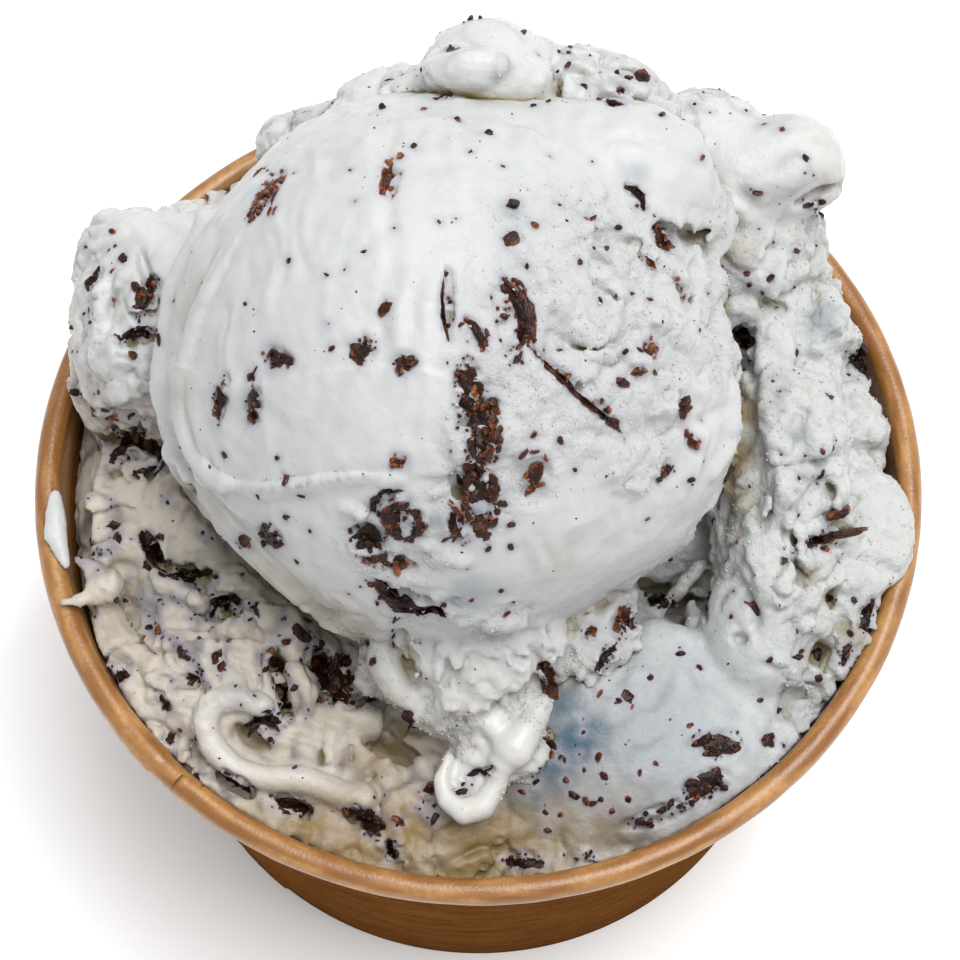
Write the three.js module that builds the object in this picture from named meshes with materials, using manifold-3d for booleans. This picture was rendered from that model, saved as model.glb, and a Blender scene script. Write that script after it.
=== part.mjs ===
// Stracciatella ice cream in a kraft paper cup. The cup is packed to its rim, more is heaped at
// the back and on the left, and one big round scoop sits in front of the heap with a torn chunk
// and a melted drip below it. Dark chocolate flakes lie all through the ice cream.
// Millimetres, +Z up, origin at the middle of the cup's foot, the eater's side towards -Y.
import * as THREE from 'three';
import { mergeVertices } from 'three/addons/utils/BufferGeometryUtils.js';
import { ImprovedNoise } from 'three/addons/math/ImprovedNoise.js';
import Module from 'manifold-3d';

const wasm = await Module();
wasm.setup();

// ---- Driving dimensions ------------------------------------------------------------------------
const GAP = 0.3; // left between pieces that touch

const CUP = {
  height: 60,
  rimRadius: 49, // outer edge of the rolled rim
  bead: 1.5, // radius of the roll
  footRadius: 38,
  paper: 0.55, // thickness of the board
  hem: 4.8, // height of the lower edge that is folded in and up
  baseHeight: 6, // underside of the raised base
  segments: 60,
};
const SEAM = { azimuth: 228, width: 6, step: 0.3, top: 56.5 };
const SMEAR = { azimuth: 189, length: 8.8, width: 4.2, height: 1.7 }; // dried drop on the rim

const SCOOP = { at: new THREE.Vector3(-3.3, 4.6, 76), radius: 29.3, detail: 9, topHeavy: 0.42 };
const LIP = { radius: 2, lift: 0 }; // raised edge left by the spoon
const FLAKE = { thickness: 1, sides: 5 };

// ---- Shapes by distance ------------------------------------------------------------------------
const degrees = THREE.MathUtils.degToRad;
const point = (x, y, z) => new THREE.Vector3(x, y, z);
const lump = (x, y, z, rx, ry = rx, rz = rx) => ({ at: point(x, y, z), radii: point(rx, ry, rz) });

const perlin = new ImprovedNoise();
const ripple = (p, scale) => perlin.noise(p.x / scale + 9.3, p.y / scale + 4.7, p.z / scale + 2.1);

// Height of a bell-shaped bump, 1 at its middle.
const bell = (distance, width) => Math.exp(-((distance / width) ** 2));

// How far a point lies outside an ellipsoid, close to exact near its surface.
function outsideLump(p, { at, radii }) {
  const scaled = p.clone().sub(at).divide(radii);
  const reach = scaled.length();
  return (reach * (reach - 1)) / Math.max(scaled.divide(radii).length(), 1e-6);
}

// How far a point lies outside a round rope that thins out towards its last point.
function outsideRope(p, { path, radius }) {
  const last = path.length - 1;
  const gaps = path.map((at, i) => p.distanceTo(at) - radius * (1 - 0.6 * (i / last) ** 3));
  return Math.min(...gaps);
}

// The lesser of two distances, with the crease between the two shapes filled in.
function melt(a, b, softness) {
  const overlap = Math.max(softness - Math.abs(a - b), 0) / softness;
  return Math.min(a, b) - (overlap * overlap * softness) / 4;
}

const outsideHeap = (p, lumps, softness) =>
  lumps.map((each) => outsideLump(p, each)).reduce((a, b) => melt(a, b, softness));

// ---- Solids ------------------------------------------------------------------------------------
function toSolid(geometry) {
  geometry.deleteAttribute('normal');
  geometry.deleteAttribute('uv');
  const merged = mergeVertices(geometry, 1e-4);
  return new wasm.Manifold(new wasm.Mesh({
    numProp: 3,
    vertProperties: merged.getAttribute('position').array,
    triVerts: Uint32Array.from(merged.index.array),
  }));
}

// The biggest connected body of a solid, so loose scraps and sealed hollows drop out.
function wholeBody(solid) {
  const parts = solid.decompose();
  return parts.reduce((a, b) => (a.volume() > b.volume() ? a : b));
}

function toMesh(name, solid, material) {
  const { vertProperties, triVerts } = solid.getMesh();
  const geometry = new THREE.BufferGeometry();
  geometry.setAttribute('position', new THREE.BufferAttribute(vertProperties, 3));
  geometry.setIndex(new THREE.BufferAttribute(triVerts, 1));
  geometry.computeVertexNormals();
  const mesh = new THREE.Mesh(geometry, material);
  mesh.name = name;
  return mesh;
}

// A round piece: [radius, height] pairs go once round its section.
function lathe(section, segments = CUP.segments) {
  const outline = [...section, section[0]].map(([radius, height]) => new THREE.Vector2(radius, height));
  return new THREE.LatheGeometry(outline, segments).rotateX(Math.PI / 2);
}

// Faces of a lathe turned from +Y to +Z can point inwards, which shows as a negative volume.
function facingOut(geometry) {
  const solid = toSolid(geometry);
  if (solid.volume() > 0) return solid;
  const flipped = geometry.clone();
  const order = flipped.index.array;
  for (let i = 0; i < order.length; i += 3) [order[i], order[i + 1]] = [order[i + 1], order[i]];
  return toSolid(flipped);
}

// A closed skin round a heap. Each corner of a fine icosahedron slides in along its own line
// towards the centre until it meets the heap's surface, `grow` outside it.
function skin({ centre, detail, outside, stretch = point(1, 1, 1), topHeavy = 0, grow = 0, reach = 60 }) {
  const geometry = new THREE.IcosahedronGeometry(1, detail);
  const corners = geometry.getAttribute('position');
  const way = point(0, 0, 0);
  for (let i = 0; i < corners.count; i += 1) {
    way.fromBufferAttribute(corners, i);
    way.z += topHeavy * (1 - way.z * way.z);
    way.multiply(stretch).normalize();
    let distance = reach;
    for (let step = 0; step < 60 && distance > 0.5; step += 1) {
      const gap = outside(way.clone().multiplyScalar(distance).add(centre)) - grow;
      distance -= 0.75 * gap;
      if (gap < 0.01) break;
    }
    corners.setXYZ(i, ...way.multiplyScalar(distance).add(centre));
  }
  return toSolid(geometry);
}

// Ray from a start along a direction to the first face of a solid.
function surfaceHit(solid, from, along) {
  const target = toMesh('target', solid, new THREE.MeshBasicMaterial({ side: THREE.DoubleSide }));
  return new THREE.Raycaster(from, along.clone().normalize()).intersectObject(target)[0];
}

// A chocolate flake: a five-sided chip, flat against the surface and half sunk in it. `turn` is
// the angle of its length on the surface, from level.
function flake(place, normal, { length, width, turn }, grow = 0) {
  const level = point(0, 0, 1).cross(normal).normalize();
  const frame = new THREE.Matrix4().makeBasis(level, normal.clone().cross(level), normal);
  const chip = new THREE.CylinderGeometry(0.85, 1, 1, FLAKE.sides).rotateX(Math.PI / 2);
  chip.scale(length / 2 + grow, width / 2 + grow, FLAKE.thickness + 2 * grow);
  chip.rotateZ(degrees(turn)).applyMatrix4(frame).translate(...place);
  return toSolid(chip);
}

// Repeatable draws from 0 to 1.
function seededDraws(seed) {
  let state = seed;
  return () => {
    state = (state * 1664525 + 1013904223) % 4294967296;
    return state / 4294967296;
  };
}

// ---- The paper cup -----------------------------------------------------------------------------
const beadMiddle = { radius: CUP.rimRadius - CUP.bead, height: CUP.height - CUP.bead };
const wallTop = beadMiddle.radius - CUP.bead + CUP.paper; // the wall's outside, where the roll starts
const wallOutside = (height) =>
  THREE.MathUtils.lerp(CUP.footRadius, wallTop, height / beadMiddle.height);
const wallInside = (height) => Math.min(wallOutside(height), wallTop) - CUP.paper;

// Points of a circle's arc in the section, from one angle to another.
function arc(radius, height, size, from, to, steps) {
  return Array.from({ length: steps + 1 }, (_, i) => {
    const angle = degrees(THREE.MathUtils.lerp(from, to, i / steps));
    return [radius + size * Math.cos(angle), height + size * Math.sin(angle)];
  });
}

// The wall, its rolled rim, the hem folded in at the foot, and the glued side seam.
function cupWall() {
  const skirt = CUP.paper + 2 * GAP; // the base's skirt stands between wall and hem
  const hemOutside = wallInside(0) - skirt;
  const wall = facingOut(lathe([
    [CUP.footRadius, 0],
    [wallOutside(SEAM.top), SEAM.top],
    ...arc(beadMiddle.radius, beadMiddle.height, CUP.bead, -120, 180, 8),
    [wallInside(1), 1],
    [hemOutside + 0.15, 1],
    [hemOutside + 0.7, CUP.hem],
    [hemOutside + 0.7 - CUP.paper, CUP.hem],
    [hemOutside - CUP.paper, 0],
  ]));
  return wall.add(seamStrip());
}

// The overlap of the wall's two edges: a box bent on to the cone, standing a paper's step proud.
function seamStrip() {
  const strip = new THREE.BoxGeometry(1, 1, 1, 2, 1, 1);
  const corners = strip.getAttribute('position');
  for (let i = 0; i < corners.count; i += 1) {
    const height = THREE.MathUtils.lerp(0.6, SEAM.top, corners.getZ(i) + 0.5);
    const angle = degrees(SEAM.azimuth) + (corners.getX(i) * SEAM.width) / CUP.rimRadius;
    const radius = wallOutside(height) + SEAM.step * 2 * corners.getY(i);
    corners.setXYZ(i, radius * Math.cos(angle), radius * Math.sin(angle), height);
  }
  return facingOut(strip);
}

// The raised base: a disc with a skirt that hangs between the wall and its hem.
function cupBase() {
  const skirtOutside = (height) => wallInside(height) - GAP;
  const lowest = 1 + GAP;
  const top = CUP.baseHeight + CUP.paper;
  return facingOut(lathe([
    [0, CUP.baseHeight],
    [skirtOutside(CUP.baseHeight) - CUP.paper, CUP.baseHeight],
    [skirtOutside(lowest) - CUP.paper, lowest],
    [skirtOutside(lowest), lowest],
    [skirtOutside(top), top],
    [0, top],
  ]));
}

// ---- The scoop ---------------------------------------------------------------------------------
// A point of the ball, by its compass angle and its height angle, `lift` above the surface.
function onBall(azimuth, elevation, lift = 0) {
  const way = new THREE.Vector3().setFromSphericalCoords(1, degrees(90 - elevation), degrees(90 + azimuth));
  return point(way.x, -way.z, way.y).multiplyScalar(SCOOP.radius + lift).add(SCOOP.at);
}

// The spoon's edge runs down the left side and fades out across the front.
const lipCourse = [
  onBall(142, 34, LIP.lift), onBall(162, 24, LIP.lift), onBall(-175, 4, LIP.lift),
  onBall(-161, -2, LIP.lift), onBall(-145, 13, LIP.lift), onBall(-126, 29, -0.3),
  onBall(-109, 39, -0.8),
];
const lipRope = { path: new THREE.CatmullRomCurve3(lipCourse).getSpacedPoints(70), radius: LIP.radius };

// The ledge at the upper right, where the scoop was drawn out and torn off, and the fuller torn
// side below it.
const ledge = [lump(13, 18.5, 93, 11, 8, 6), lump(19.5, 17, 86.5, 7.5, 6, 5), lump(11.5, 0, 76, 15.5, 18, 17)];

function outsideBall(p) {
  const fromMiddle = p.clone().sub(SCOOP.at);
  const ball = fromMiddle.length() - SCOOP.radius;
  const torn = THREE.MathUtils.smoothstep(fromMiddle.x, -4, 14);
  const upper = THREE.MathUtils.smoothstep(fromMiddle.z, -14, -4);
  const relief = upper * (0.15 + 0.75 * torn) * ripple(p, 4.5);
  const dome = melt(ball, outsideRope(p, lipRope), 0.9);
  return melt(dome, outsideHeap(p, ledge, 4), 3) - relief;
}

// The chunk that hangs off the scoop's front, its crumbs, and the melted drip at its tip.
const chunk = [
  lump(-1, -25, 62.5, 9.5, 7, 6),
  lump(2, -32, 59.8, 6, 5, 4),
  lump(5, -33, 60.5, 3, 3, 3),
  lump(-1.2, -36.8, 58, 3.5, 3.7, 3),
  lump(11, -21, 62.5, 9, 6, 4),
  lump(-10, -24, 61, 3.4),
];
const outsideChunk = (p) => outsideHeap(p, chunk, 1.5) - 0.7 * ripple(p, 3.5);

// Ball and chunk in one, `grow` fatter all round.
function scoopBody(grow = 0) {
  const ball = skin({ ...SCOOP, centre: SCOOP.at, outside: outsideBall, grow });
  const front = skin({ centre: point(1, -27, 61.5), detail: 5, outside: outsideChunk, grow, reach: 25 });
  return ball.add(front);
}

// The scoop's big shards: compass angle, height angle, length, width and turn of each.
const scoopShards = [
  [-79, 54, 9, 4, 100], [-82, 38, 8, 3.4, 85], [-54, 69, 8, 3, 75], [-47, 50, 13, 1.6, -40],
  [-99, 32, 4.4, 4.2, 10], [-105, 24, 6, 3.6, -20], [-97, 11, 8.6, 2.4, -24], [15, 38, 4.4, 2.2, -10],
  [1, 36, 8, 1.3, -62], [154, 45, 6.4, 3.6, 65], [-154, 30, 5.4, 2.2, 80], [-145, 38, 3.8, 2.2, 85],
  [-131, 9, 7, 2.4, -35], [-20, 42, 2.8, 2, 70], [128, 73, 4.6, 1.6, 85], [-68, 40, 3.6, 2.8, 60],
  [-149, 49, 4, 2, 20], [-107, 63, 3, 2.2, 50], [-126, 63, 3, 2.4, 0], [26, 76, 2.6, 1.6, 80],
].map(([azimuth, elevation, length, width, turn]) => ({ azimuth, elevation, length, width, turn }));

// Small chips are strewn over the dome, closer together towards the front.
const scoopChips = { count: 16, seed: 11, azimuth: [-190, 60], elevation: [12, 80], length: [1.8, 2.8] };

function strewn({ count, seed, azimuth, elevation, length }) {
  const draw = seededDraws(seed);
  const between = ([low, high]) => THREE.MathUtils.lerp(low, high, draw());
  return Array.from({ length: count }, () => ({
    azimuth: between(azimuth),
    elevation: between(elevation),
    length: between(length),
    width: 1.4 + 0.4 * draw(),
    turn: 180 * draw(),
  }));
}

function scoopFlakes(body, grow = 0) {
  return [...scoopShards, ...strewn(scoopChips)].map((each) => {
    const outer = onBall(each.azimuth, each.elevation, 12);
    const normal = outer.clone().sub(SCOOP.at).normalize();
    const { point: place } = surfaceHit(body, outer, normal.clone().negate());
    return flake(place, normal, each, grow);
  });
}

// ---- The ice cream packed in the cup -----------------------------------------------------------
// Low mounds of the packed surface.
const mounds = [
  lump(16, -26, 50, 24, 17, 13), // smooth, right front
  lump(-26, -19, 52, 15, 13, 8.5), // left front
  lump(39.5, -2, 55, 6.5, 24, 8.5), // along the right wall
  lump(-36, -4, 52, 9, 14, 9), // along the left wall
  lump(-3, -39, 50, 15, 6, 7), // small bumps at the front wall
  lump(0, 20, 56, 30, 22, 12), // under the heap
];
const pit = { x: 22.5, y: -14, width: 4.2, depth: 8 }; // dark hole between scoop and right mound

function packedTop(x, y) {
  const slope = CUP.height - 2.8 + 0.045 * y + 0.03 * Math.abs(x);
  const tops = mounds.map(({ at, radii }) => {
    const off = ((x - at.x) / radii.x) ** 2 + ((y - at.y) / radii.y) ** 2;
    return off < 1 ? at.z + radii.z * Math.sqrt(1 - off) : 0;
  });
  const highest = tops.reduce((a, b) => -melt(-a, -b, 2.5), slope);
  const hole = pit.depth * bell(Math.hypot(x - pit.x, y - pit.y), pit.width);
  return highest - hole + 0.9 * ripple(point(x, y, 0), 4.5);
}

// At two places the ice cream has shrunk from the wall, and the wall's inside shows.
function shrinkage(azimuth) {
  const off = (middle) => Math.abs(((azimuth - middle + 540) % 360) - 180);
  return 2.6 * bell(off(188), 11) + 2.2 * bell(off(17), 8);
}

// The filling proper: a disc of rings for its top, laid on packedTop, over a cone for its side.
function filling() {
  const segments = 46;
  const rings = 8;
  const bottom = CUP.baseHeight + CUP.paper + GAP;
  const section = [[0, bottom]];
  for (const height of [bottom, 53]) section.push([wallInside(height) - GAP, height]);
  for (let ring = rings; ring >= 0; ring -= 1) section.push([(ring / rings) ** 0.9, CUP.height]);
  const geometry = lathe(section.reverse(), segments);
  const corners = geometry.getAttribute('position');
  for (let i = 0; i < corners.count; i += 1) {
    if (Math.abs(corners.getZ(i) - CUP.height) > 1e-3) continue;
    const azimuth = Math.atan2(corners.getY(i), corners.getX(i));
    const edge = wallInside(beadMiddle.height) - GAP - shrinkage(THREE.MathUtils.radToDeg(azimuth));
    const x = corners.getX(i) * edge;
    const y = corners.getY(i) * edge;
    corners.setXYZ(i, x, y, packedTop(x, y));
  }
  return facingOut(geometry);
}

// The heap behind the scoop, with its rounded knobs.
const backHeap = [
  lump(2, 28, 67, 24.5, 15.5, 19),
  lump(0.8, 30, 90, 9, 8, 8.5),
  lump(13, 29, 84.5, 8),
  lump(24, 28, 78, 8.5),
  lump(24, 24, 70, 14, 14, 14),
  lump(-17, 36, 69, 8, 4.6, 5),
  lump(-9, 33, 76, 8, 7, 8),
];
// The arm that sticks out of it to the right, with a round end.
const backArm = [lump(28, 25, 80, 8, 6.5, 6.5), lump(33.6, 25.6, 82, 5.6)];
// The boxy heap on the left, which overhangs the rim.
const leftHeap = [
  lump(-35, 15, 65, 10.5, 13, 12),
  lump(-39, 21, 70, 5.5),
  lump(-31, 24, 68, 5),
  lump(-37, 7.5, 72, 4.4, 4, 3.4),
  lump(-40, 6, 63, 5, 6, 6),
];
// The steep ridge on the scoop's right.
const rightRidge = [
  lump(33, 16, 61, 8, 11, 12.5),
  lump(33, 2, 61, 7.5, 12, 12),
  lump(32, -11, 60, 7, 10, 9.5),
  lump(29.5, -20, 59, 6, 7, 6.5),
];
// Two tongues that reach the rim.
const rimTongues = [lump(-43.4, -15.5, 60, 3.4, 1.9, 1.7), lump(43.8, -7.5, 60.6, 3.6, 6.5, 2.4)];

// The poured curl at the lower left, a rope bent back on itself.
const curl = {
  radius: 1.6,
  path: new THREE.CatmullRomCurve3([
    point(-21.5, -26.5, 59.5), point(-26, -26.2, 60), point(-28.6, -29.4, 59.8),
    point(-25.5, -32.6, 59.5), point(-19.2, -34.6, 59.3), point(-12.3, -36.1, 59),
  ]),
};

function curlSolid() {
  const round = new THREE.Shape().absarc(0, 0, curl.radius, 0, 2 * Math.PI);
  const rope = new THREE.ExtrudeGeometry(round, {
    steps: 12, curveSegments: 4, extrudePath: curl.path, bevelEnabled: false,
  });
  const ends = [0, 1].map((t) => {
    const end = new THREE.IcosahedronGeometry(curl.radius * 1.05, 1);
    return toSolid(end.translate(...curl.path.getPoint(t)));
  });
  return ends.reduce((a, b) => a.add(b), facingOut(rope));
}

// The cup and all outside it, fattened by the gap: what the ice cream is kept clear of.
function roomOutside() {
  const beyond = CUP.rimRadius + 10;
  return facingOut(lathe([
    [wallInside(0) - GAP, 0],
    [wallInside(beadMiddle.height) - GAP, beadMiddle.height],
    ...arc(beadMiddle.radius, beadMiddle.height, CUP.bead + GAP, 170, 0, 8),
    [beadMiddle.radius + CUP.bead + GAP, 0],
    [beyond, 0],
    [beyond, -1],
    [0, -1],
    [0, 0],
  ]));
}

// The bed's big shards: x, y, length, width and turn of each.
const bedShards = [
  [-35, 14, 6, 2.4, 75], [-37, 0.5, 6, 2, -10], [-32.5, -9, 8, 2.4, -30], [-26.5, -16, 6, 3, -25],
  [-24, -20.5, 4.4, 3, -40], [-38, -22, 4, 2.4, 70], [-20.5, -27.5, 3.6, 1.6, 80],
  [-14.9, -26, 5.6, 4, 80], [-11.8, -38.4, 4.4, 2.8, 20], [7.5, -32.5, 2.4, 2, 0],
  [23.9, -35.2, 6, 3, 15], [25.6, -31.5, 5.4, 2.4, 20], [19, -38.2, 8, 1.8, 20],
  [5, -42.4, 5, 2, 0], [38.2, -9.9, 9.5, 2.2, 14], [41.5, 12, 4.6, 3, -45], [38.7, 7.4, 3, 2, -10],
  [4, 36, 3.4, 2, 30], [22, 26, 3, 2, 0], [-17, 35.5, 3, 1.8, 20],
].map(([x, y, length, width, turn]) => ({ x, y, length, width, turn }));

function bedFlakes(body) {
  return bedShards.map((each) => {
    const hit = surfaceHit(body, point(each.x, each.y, 2 * CUP.height), point(0, 0, -1));
    return flake(hit.point, hit.face.normal.clone().lerp(point(0, 0, 1), 0.4).normalize(), each);
  });
}

function bedBody() {
  const heap = (lumps, softness) => (p) => outsideHeap(p, lumps, softness) - 0.6 * ripple(p, 4);
  const heaps = [
    skin({ centre: point(6, 28, 73), detail: 7, topHeavy: 0.3, outside: heap(backHeap, 3) }),
    skin({ centre: point(31, 25.5, 81), detail: 3, outside: heap(backArm, 2), reach: 20 }),
    skin({ centre: point(-35, 14, 65), detail: 4, outside: heap(leftHeap, 1.5) }),
    skin({ centre: point(32, 0, 60), detail: 4, outside: heap(rightRidge, 3), stretch: point(1, 3, 1.5) }),
    ...rimTongues.map((each) => skin({
      centre: each.at, detail: 1, outside: (p) => outsideLump(p, each), reach: 12,
    })),
    curlSolid(),
  ];
  return heaps.reduce((a, b) => a.add(b), filling());
}

// ---- The drop on the rim -----------------------------------------------------------------------
function rimSmear() {
  const angle = degrees(SMEAR.azimuth);
  const radius = beadMiddle.radius - 1;
  const drop = new THREE.IcosahedronGeometry(1, 2);
  drop.scale(SMEAR.width / 2, SMEAR.length / 2, SMEAR.height);
  drop.rotateZ(angle).translate(radius * Math.cos(angle), radius * Math.sin(angle), CUP.height - 0.2);
  return toSolid(drop);
}

// ---- Assembly ----------------------------------------------------------------------------------
const kraft = new THREE.MeshStandardMaterial({ color: 0xc8904f, roughness: 0.45, metalness: 0 });
const kraftBase = new THREE.MeshStandardMaterial({ color: 0xb98a55, roughness: 0.7, metalness: 0 });
const iceCream = new THREE.MeshStandardMaterial({ color: 0xe9e8e3, roughness: 0.5, metalness: 0 });
const packedCream = new THREE.MeshStandardMaterial({ color: 0xe3dfd6, roughness: 0.5, metalness: 0 });
const driedCream = new THREE.MeshStandardMaterial({ color: 0xe6e0d4, roughness: 0.3, metalness: 0 });

const outsideCup = roomOutside();
const plainScoop = scoopBody();
const scoop = scoopFlakes(plainScoop).reduce((a, b) => a.add(b), plainScoop);
const scoopRoom = scoopFlakes(plainScoop, GAP).reduce((a, b) => a.add(b), scoopBody(GAP));

const plainBed = bedBody();
const bed = bedFlakes(plainBed).reduce((a, b) => a.add(b), plainBed);

const group = new THREE.Group();
group.add(toMesh('cup_wall', wholeBody(cupWall()), kraft));
group.add(toMesh('cup_base', wholeBody(cupBase()), kraftBase));
group.add(toMesh('scoop', wholeBody(scoop), iceCream));
group.add(toMesh('ice_cream_bed', wholeBody(bed.subtract(outsideCup).subtract(scoopRoom)), packedCream));
group.add(toMesh('rim_smear', wholeBody(rimSmear().subtract(outsideCup)), driedCream));

export default group;
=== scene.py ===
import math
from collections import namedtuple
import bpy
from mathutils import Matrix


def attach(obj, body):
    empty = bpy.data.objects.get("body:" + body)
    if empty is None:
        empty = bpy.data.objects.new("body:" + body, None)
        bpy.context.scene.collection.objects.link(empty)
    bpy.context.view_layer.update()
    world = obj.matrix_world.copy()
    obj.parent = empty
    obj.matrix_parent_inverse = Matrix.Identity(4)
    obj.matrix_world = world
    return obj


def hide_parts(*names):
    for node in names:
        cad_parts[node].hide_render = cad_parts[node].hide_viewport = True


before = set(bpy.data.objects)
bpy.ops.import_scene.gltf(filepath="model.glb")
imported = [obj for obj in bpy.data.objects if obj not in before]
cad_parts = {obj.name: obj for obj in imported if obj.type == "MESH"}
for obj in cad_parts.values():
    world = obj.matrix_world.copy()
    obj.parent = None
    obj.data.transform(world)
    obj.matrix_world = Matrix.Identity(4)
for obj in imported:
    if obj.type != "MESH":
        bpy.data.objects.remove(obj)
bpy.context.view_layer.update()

# Stracciatella ice cream in a kraft paper cup: one big scoop on a packed and heaped cup, with
# dark chocolate flakes all through it. Shapes are worked out in millimetres and become meshes in
# metres at the end. Ice cream is carved as distance fields, so its heaps melt into each other.
from copy import copy

import bmesh
import bpy
import numpy as np
import openvdb
from mathutils import Vector
from mathutils.bvhtree import BVHTree
from mathutils.kdtree import KDTree

MM = 0.001

# ---- The view --------------------------------------------------------------------------------
# The camera looks down on the middle of the rim. Places on the ice cream are named by where they
# are seen in the square picture, in pixels from its upper left corner.
RIM_HEIGHT = 60.0
TILT = math.radians(65.5)
EYE_DISTANCE = 330.0
PICTURE = 960
FOCAL = 3000.0  # in pixels
MIDDLE = (478.4, 469.7)  # pixel of the rim's middle

FORWARD = np.array((0, math.cos(TILT), -math.sin(TILT)))
UPWARD = np.array((0, math.sin(TILT), math.cos(TILT)))
EYE = np.array((0, 0, RIM_HEIGHT)) - EYE_DISTANCE * FORWARD


def sight(px, py):
    """Unit direction from the eye through a pixel."""
    way = FORWARD + UPWARD * (MIDDLE[1] - py) / FOCAL
    way[0] += (px - MIDDLE[0]) / FOCAL
    return way / np.linalg.norm(way)


def at_height(px, py, z):
    """The point at height z that is seen at a pixel."""
    way = sight(px, py)
    return EYE + way * (z - EYE[2]) / way[2]


def seen_path(*places):
    """Points given as the pixels where they are seen and their heights."""
    return [at_height(*place) for place in places]


# ---- Driving dimensions ----------------------------------------------------------------------
SCOOP_AT = np.array((-3.3, 4.6, 76.0))
SCOOP_RADIUS = 29.3
OVERLAP = 0.2  # how far the packed ice cream reaches into the scoop, so that no gap shows
WALL_GAP = 0.1  # between the ice cream and the cup

RIM_RADIUS = 49.0
BEAD = 1.5  # radius of the rolled rim
FOOT_RADIUS = 38.0
PAPER = 0.55
HEM = 4.8
BASE_HEIGHT = 6.0
SEAM = 228.0  # compass angle of the glued overlap
SEAM_WIDTH = 6.0
SEAM_STEP = 0.3
BEAD_RADIUS = RIM_RADIUS - BEAD
BEAD_HEIGHT = RIM_HEIGHT - BEAD
WALL_TOP = BEAD_RADIUS - BEAD + PAPER

PIXELS_PER_MM = 9.5  # on top of the ice cream
VOXEL = 0.4
GRID = ((-49.2, -49.2, 44.8), (49.2, 49.2, 108))  # holds all the ice cream but the deep part
SCOOP_GRID = ((-37, -44, 44), (35, 39, 108))
CROWN = 104.9  # height from which the scoop's relief is held back
SLACK = 0.3
FAR = 6.0
BAND = 2.4  # how far from the surface relief is worked out


def on_scoop(px, py):
    """The point of the scoop's ball that is seen at a pixel, or the nearest one to it."""
    way = sight(px, py)
    along = (SCOOP_AT - EYE) @ way
    nearest = EYE + way * along
    off = np.linalg.norm(nearest - SCOOP_AT)
    if off < SCOOP_RADIUS:
        return nearest - way * math.sqrt(SCOOP_RADIUS**2 - off**2)
    return SCOOP_AT + (nearest - SCOOP_AT) * SCOOP_RADIUS / off


# ---- Noise -----------------------------------------------------------------------------------
LATTICE = 64
lattice_draws = np.random.default_rng(7)
SLOPES = lattice_draws.normal(size=(LATTICE, LATTICE, LATTICE, 3)).astype(np.float32)
SLOPES /= np.linalg.norm(SLOPES, axis=3, keepdims=True)
GRAIN_AT = lattice_draws.random((LATTICE, LATTICE, LATTICE, 3), dtype=np.float32)


def lattice_place(points, size, seed):
    place = (np.asarray(points, np.float32) / np.float32(size)) + np.float32(13.7 * seed + 3.1)
    cell = np.floor(place).astype(np.int32)
    return cell, place - cell


def pick(table, cell):
    cell = cell & (LATTICE - 1)
    return table[cell[:, 0], cell[:, 1], cell[:, 2]]


def noise(points, size, seed=0):
    """Smooth noise, about -1 to 1, with waves of the given size."""
    cell, part = lattice_place(points, size, seed)
    fade = part * part * part * (part * (part * 6 - 15) + 10)
    total = np.zeros(len(part), np.float32)
    for corner in np.ndindex(2, 2, 2):
        slope = pick(SLOPES, cell + np.array(corner, np.int32))
        weight = np.prod(np.where(corner, fade, 1 - fade), axis=1)
        total += weight * ((part - np.array(corner, np.float32)) * slope).sum(1)
    return 1.6 * total


def grains(points, size, seed=0):
    """1 in the middle of each rounded grain, about 0 in the creases between them."""
    cell, part = lattice_place(points, size, seed)
    nearest = np.full(len(part), 9.0, np.float32)
    for offset in np.ndindex(3, 3, 3):
        step = np.array(offset, np.int32) - 1
        away = pick(GRAIN_AT, cell + step) + step - part
        nearest = np.minimum(nearest, (away * away).sum(1))
    return 1 - 1.15 * np.sqrt(nearest)


def ease(value, low, high):
    """0 below low, 1 above high, smooth between."""
    part = np.clip((value - low) / (high - low), 0, 1)
    return part * part * (3 - 2 * part)


def bell(distance, width):
    return np.exp(-((distance / width) ** 2))


def spots(points, places):
    """The greatest of several soft round weights, each given as (middle, radius)."""
    weight = np.zeros(len(points), np.float32)
    for middle, radius in places:
        away = np.linalg.norm(points - np.asarray(middle, np.float32), axis=1)
        weight = np.maximum(weight, ease(-away, -1.25 * radius, -0.75 * radius))
    return weight


# ---- Shapes as distances -----------------------------------------------------------------------
Shape = namedtuple("Shape", "low high outside")


def lump(x, y, z, rx, ry=None, rz=None):
    """An ellipsoid."""
    radii = np.array((rx, ry or rx, rz or rx), np.float32)
    middle = np.array((x, y, z), np.float32)

    def outside(px, py, pz):
        sides = [(p - m) / r for p, m, r in zip((px, py, pz), middle, radii)]
        reach = np.sqrt(sum(side * side for side in sides))
        slope = np.sqrt(sum((side / r) ** 2 for side, r in zip(sides, radii)))
        return reach * (reach - 1) / np.maximum(slope, 1e-6)

    return Shape(middle - radii, middle + radii, outside)


def lump_seen(px, py, z, rx, ry=None, rz=None):
    return lump(*at_height(px, py, z), rx, ry, rz)


def rope(path, radii):
    """A round rope through some points, with a radius at each."""
    path = np.array(path, np.float32)
    radii = np.broadcast_to(np.array(radii, np.float32), len(path))

    def outside(px, py, pz):
        best = None
        for a, b, ra, rb in zip(path, path[1:], radii, radii[1:]):
            run = b - a
            part = (px - a[0]) * run[0] + (py - a[1]) * run[1] + (pz - a[2]) * run[2]
            part = np.clip(part / (run @ run), 0, 1)
            sides = [p - (m + part * r) for p, m, r in zip((px, py, pz), a, run)]
            gap = np.sqrt(sum(side * side for side in sides)) - (ra + part * (rb - ra))
            best = gap if best is None else np.minimum(best, gap)
        return best

    widest = radii.max()
    return Shape(path.min(0) - widest, path.max(0) + widest, outside)


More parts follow.
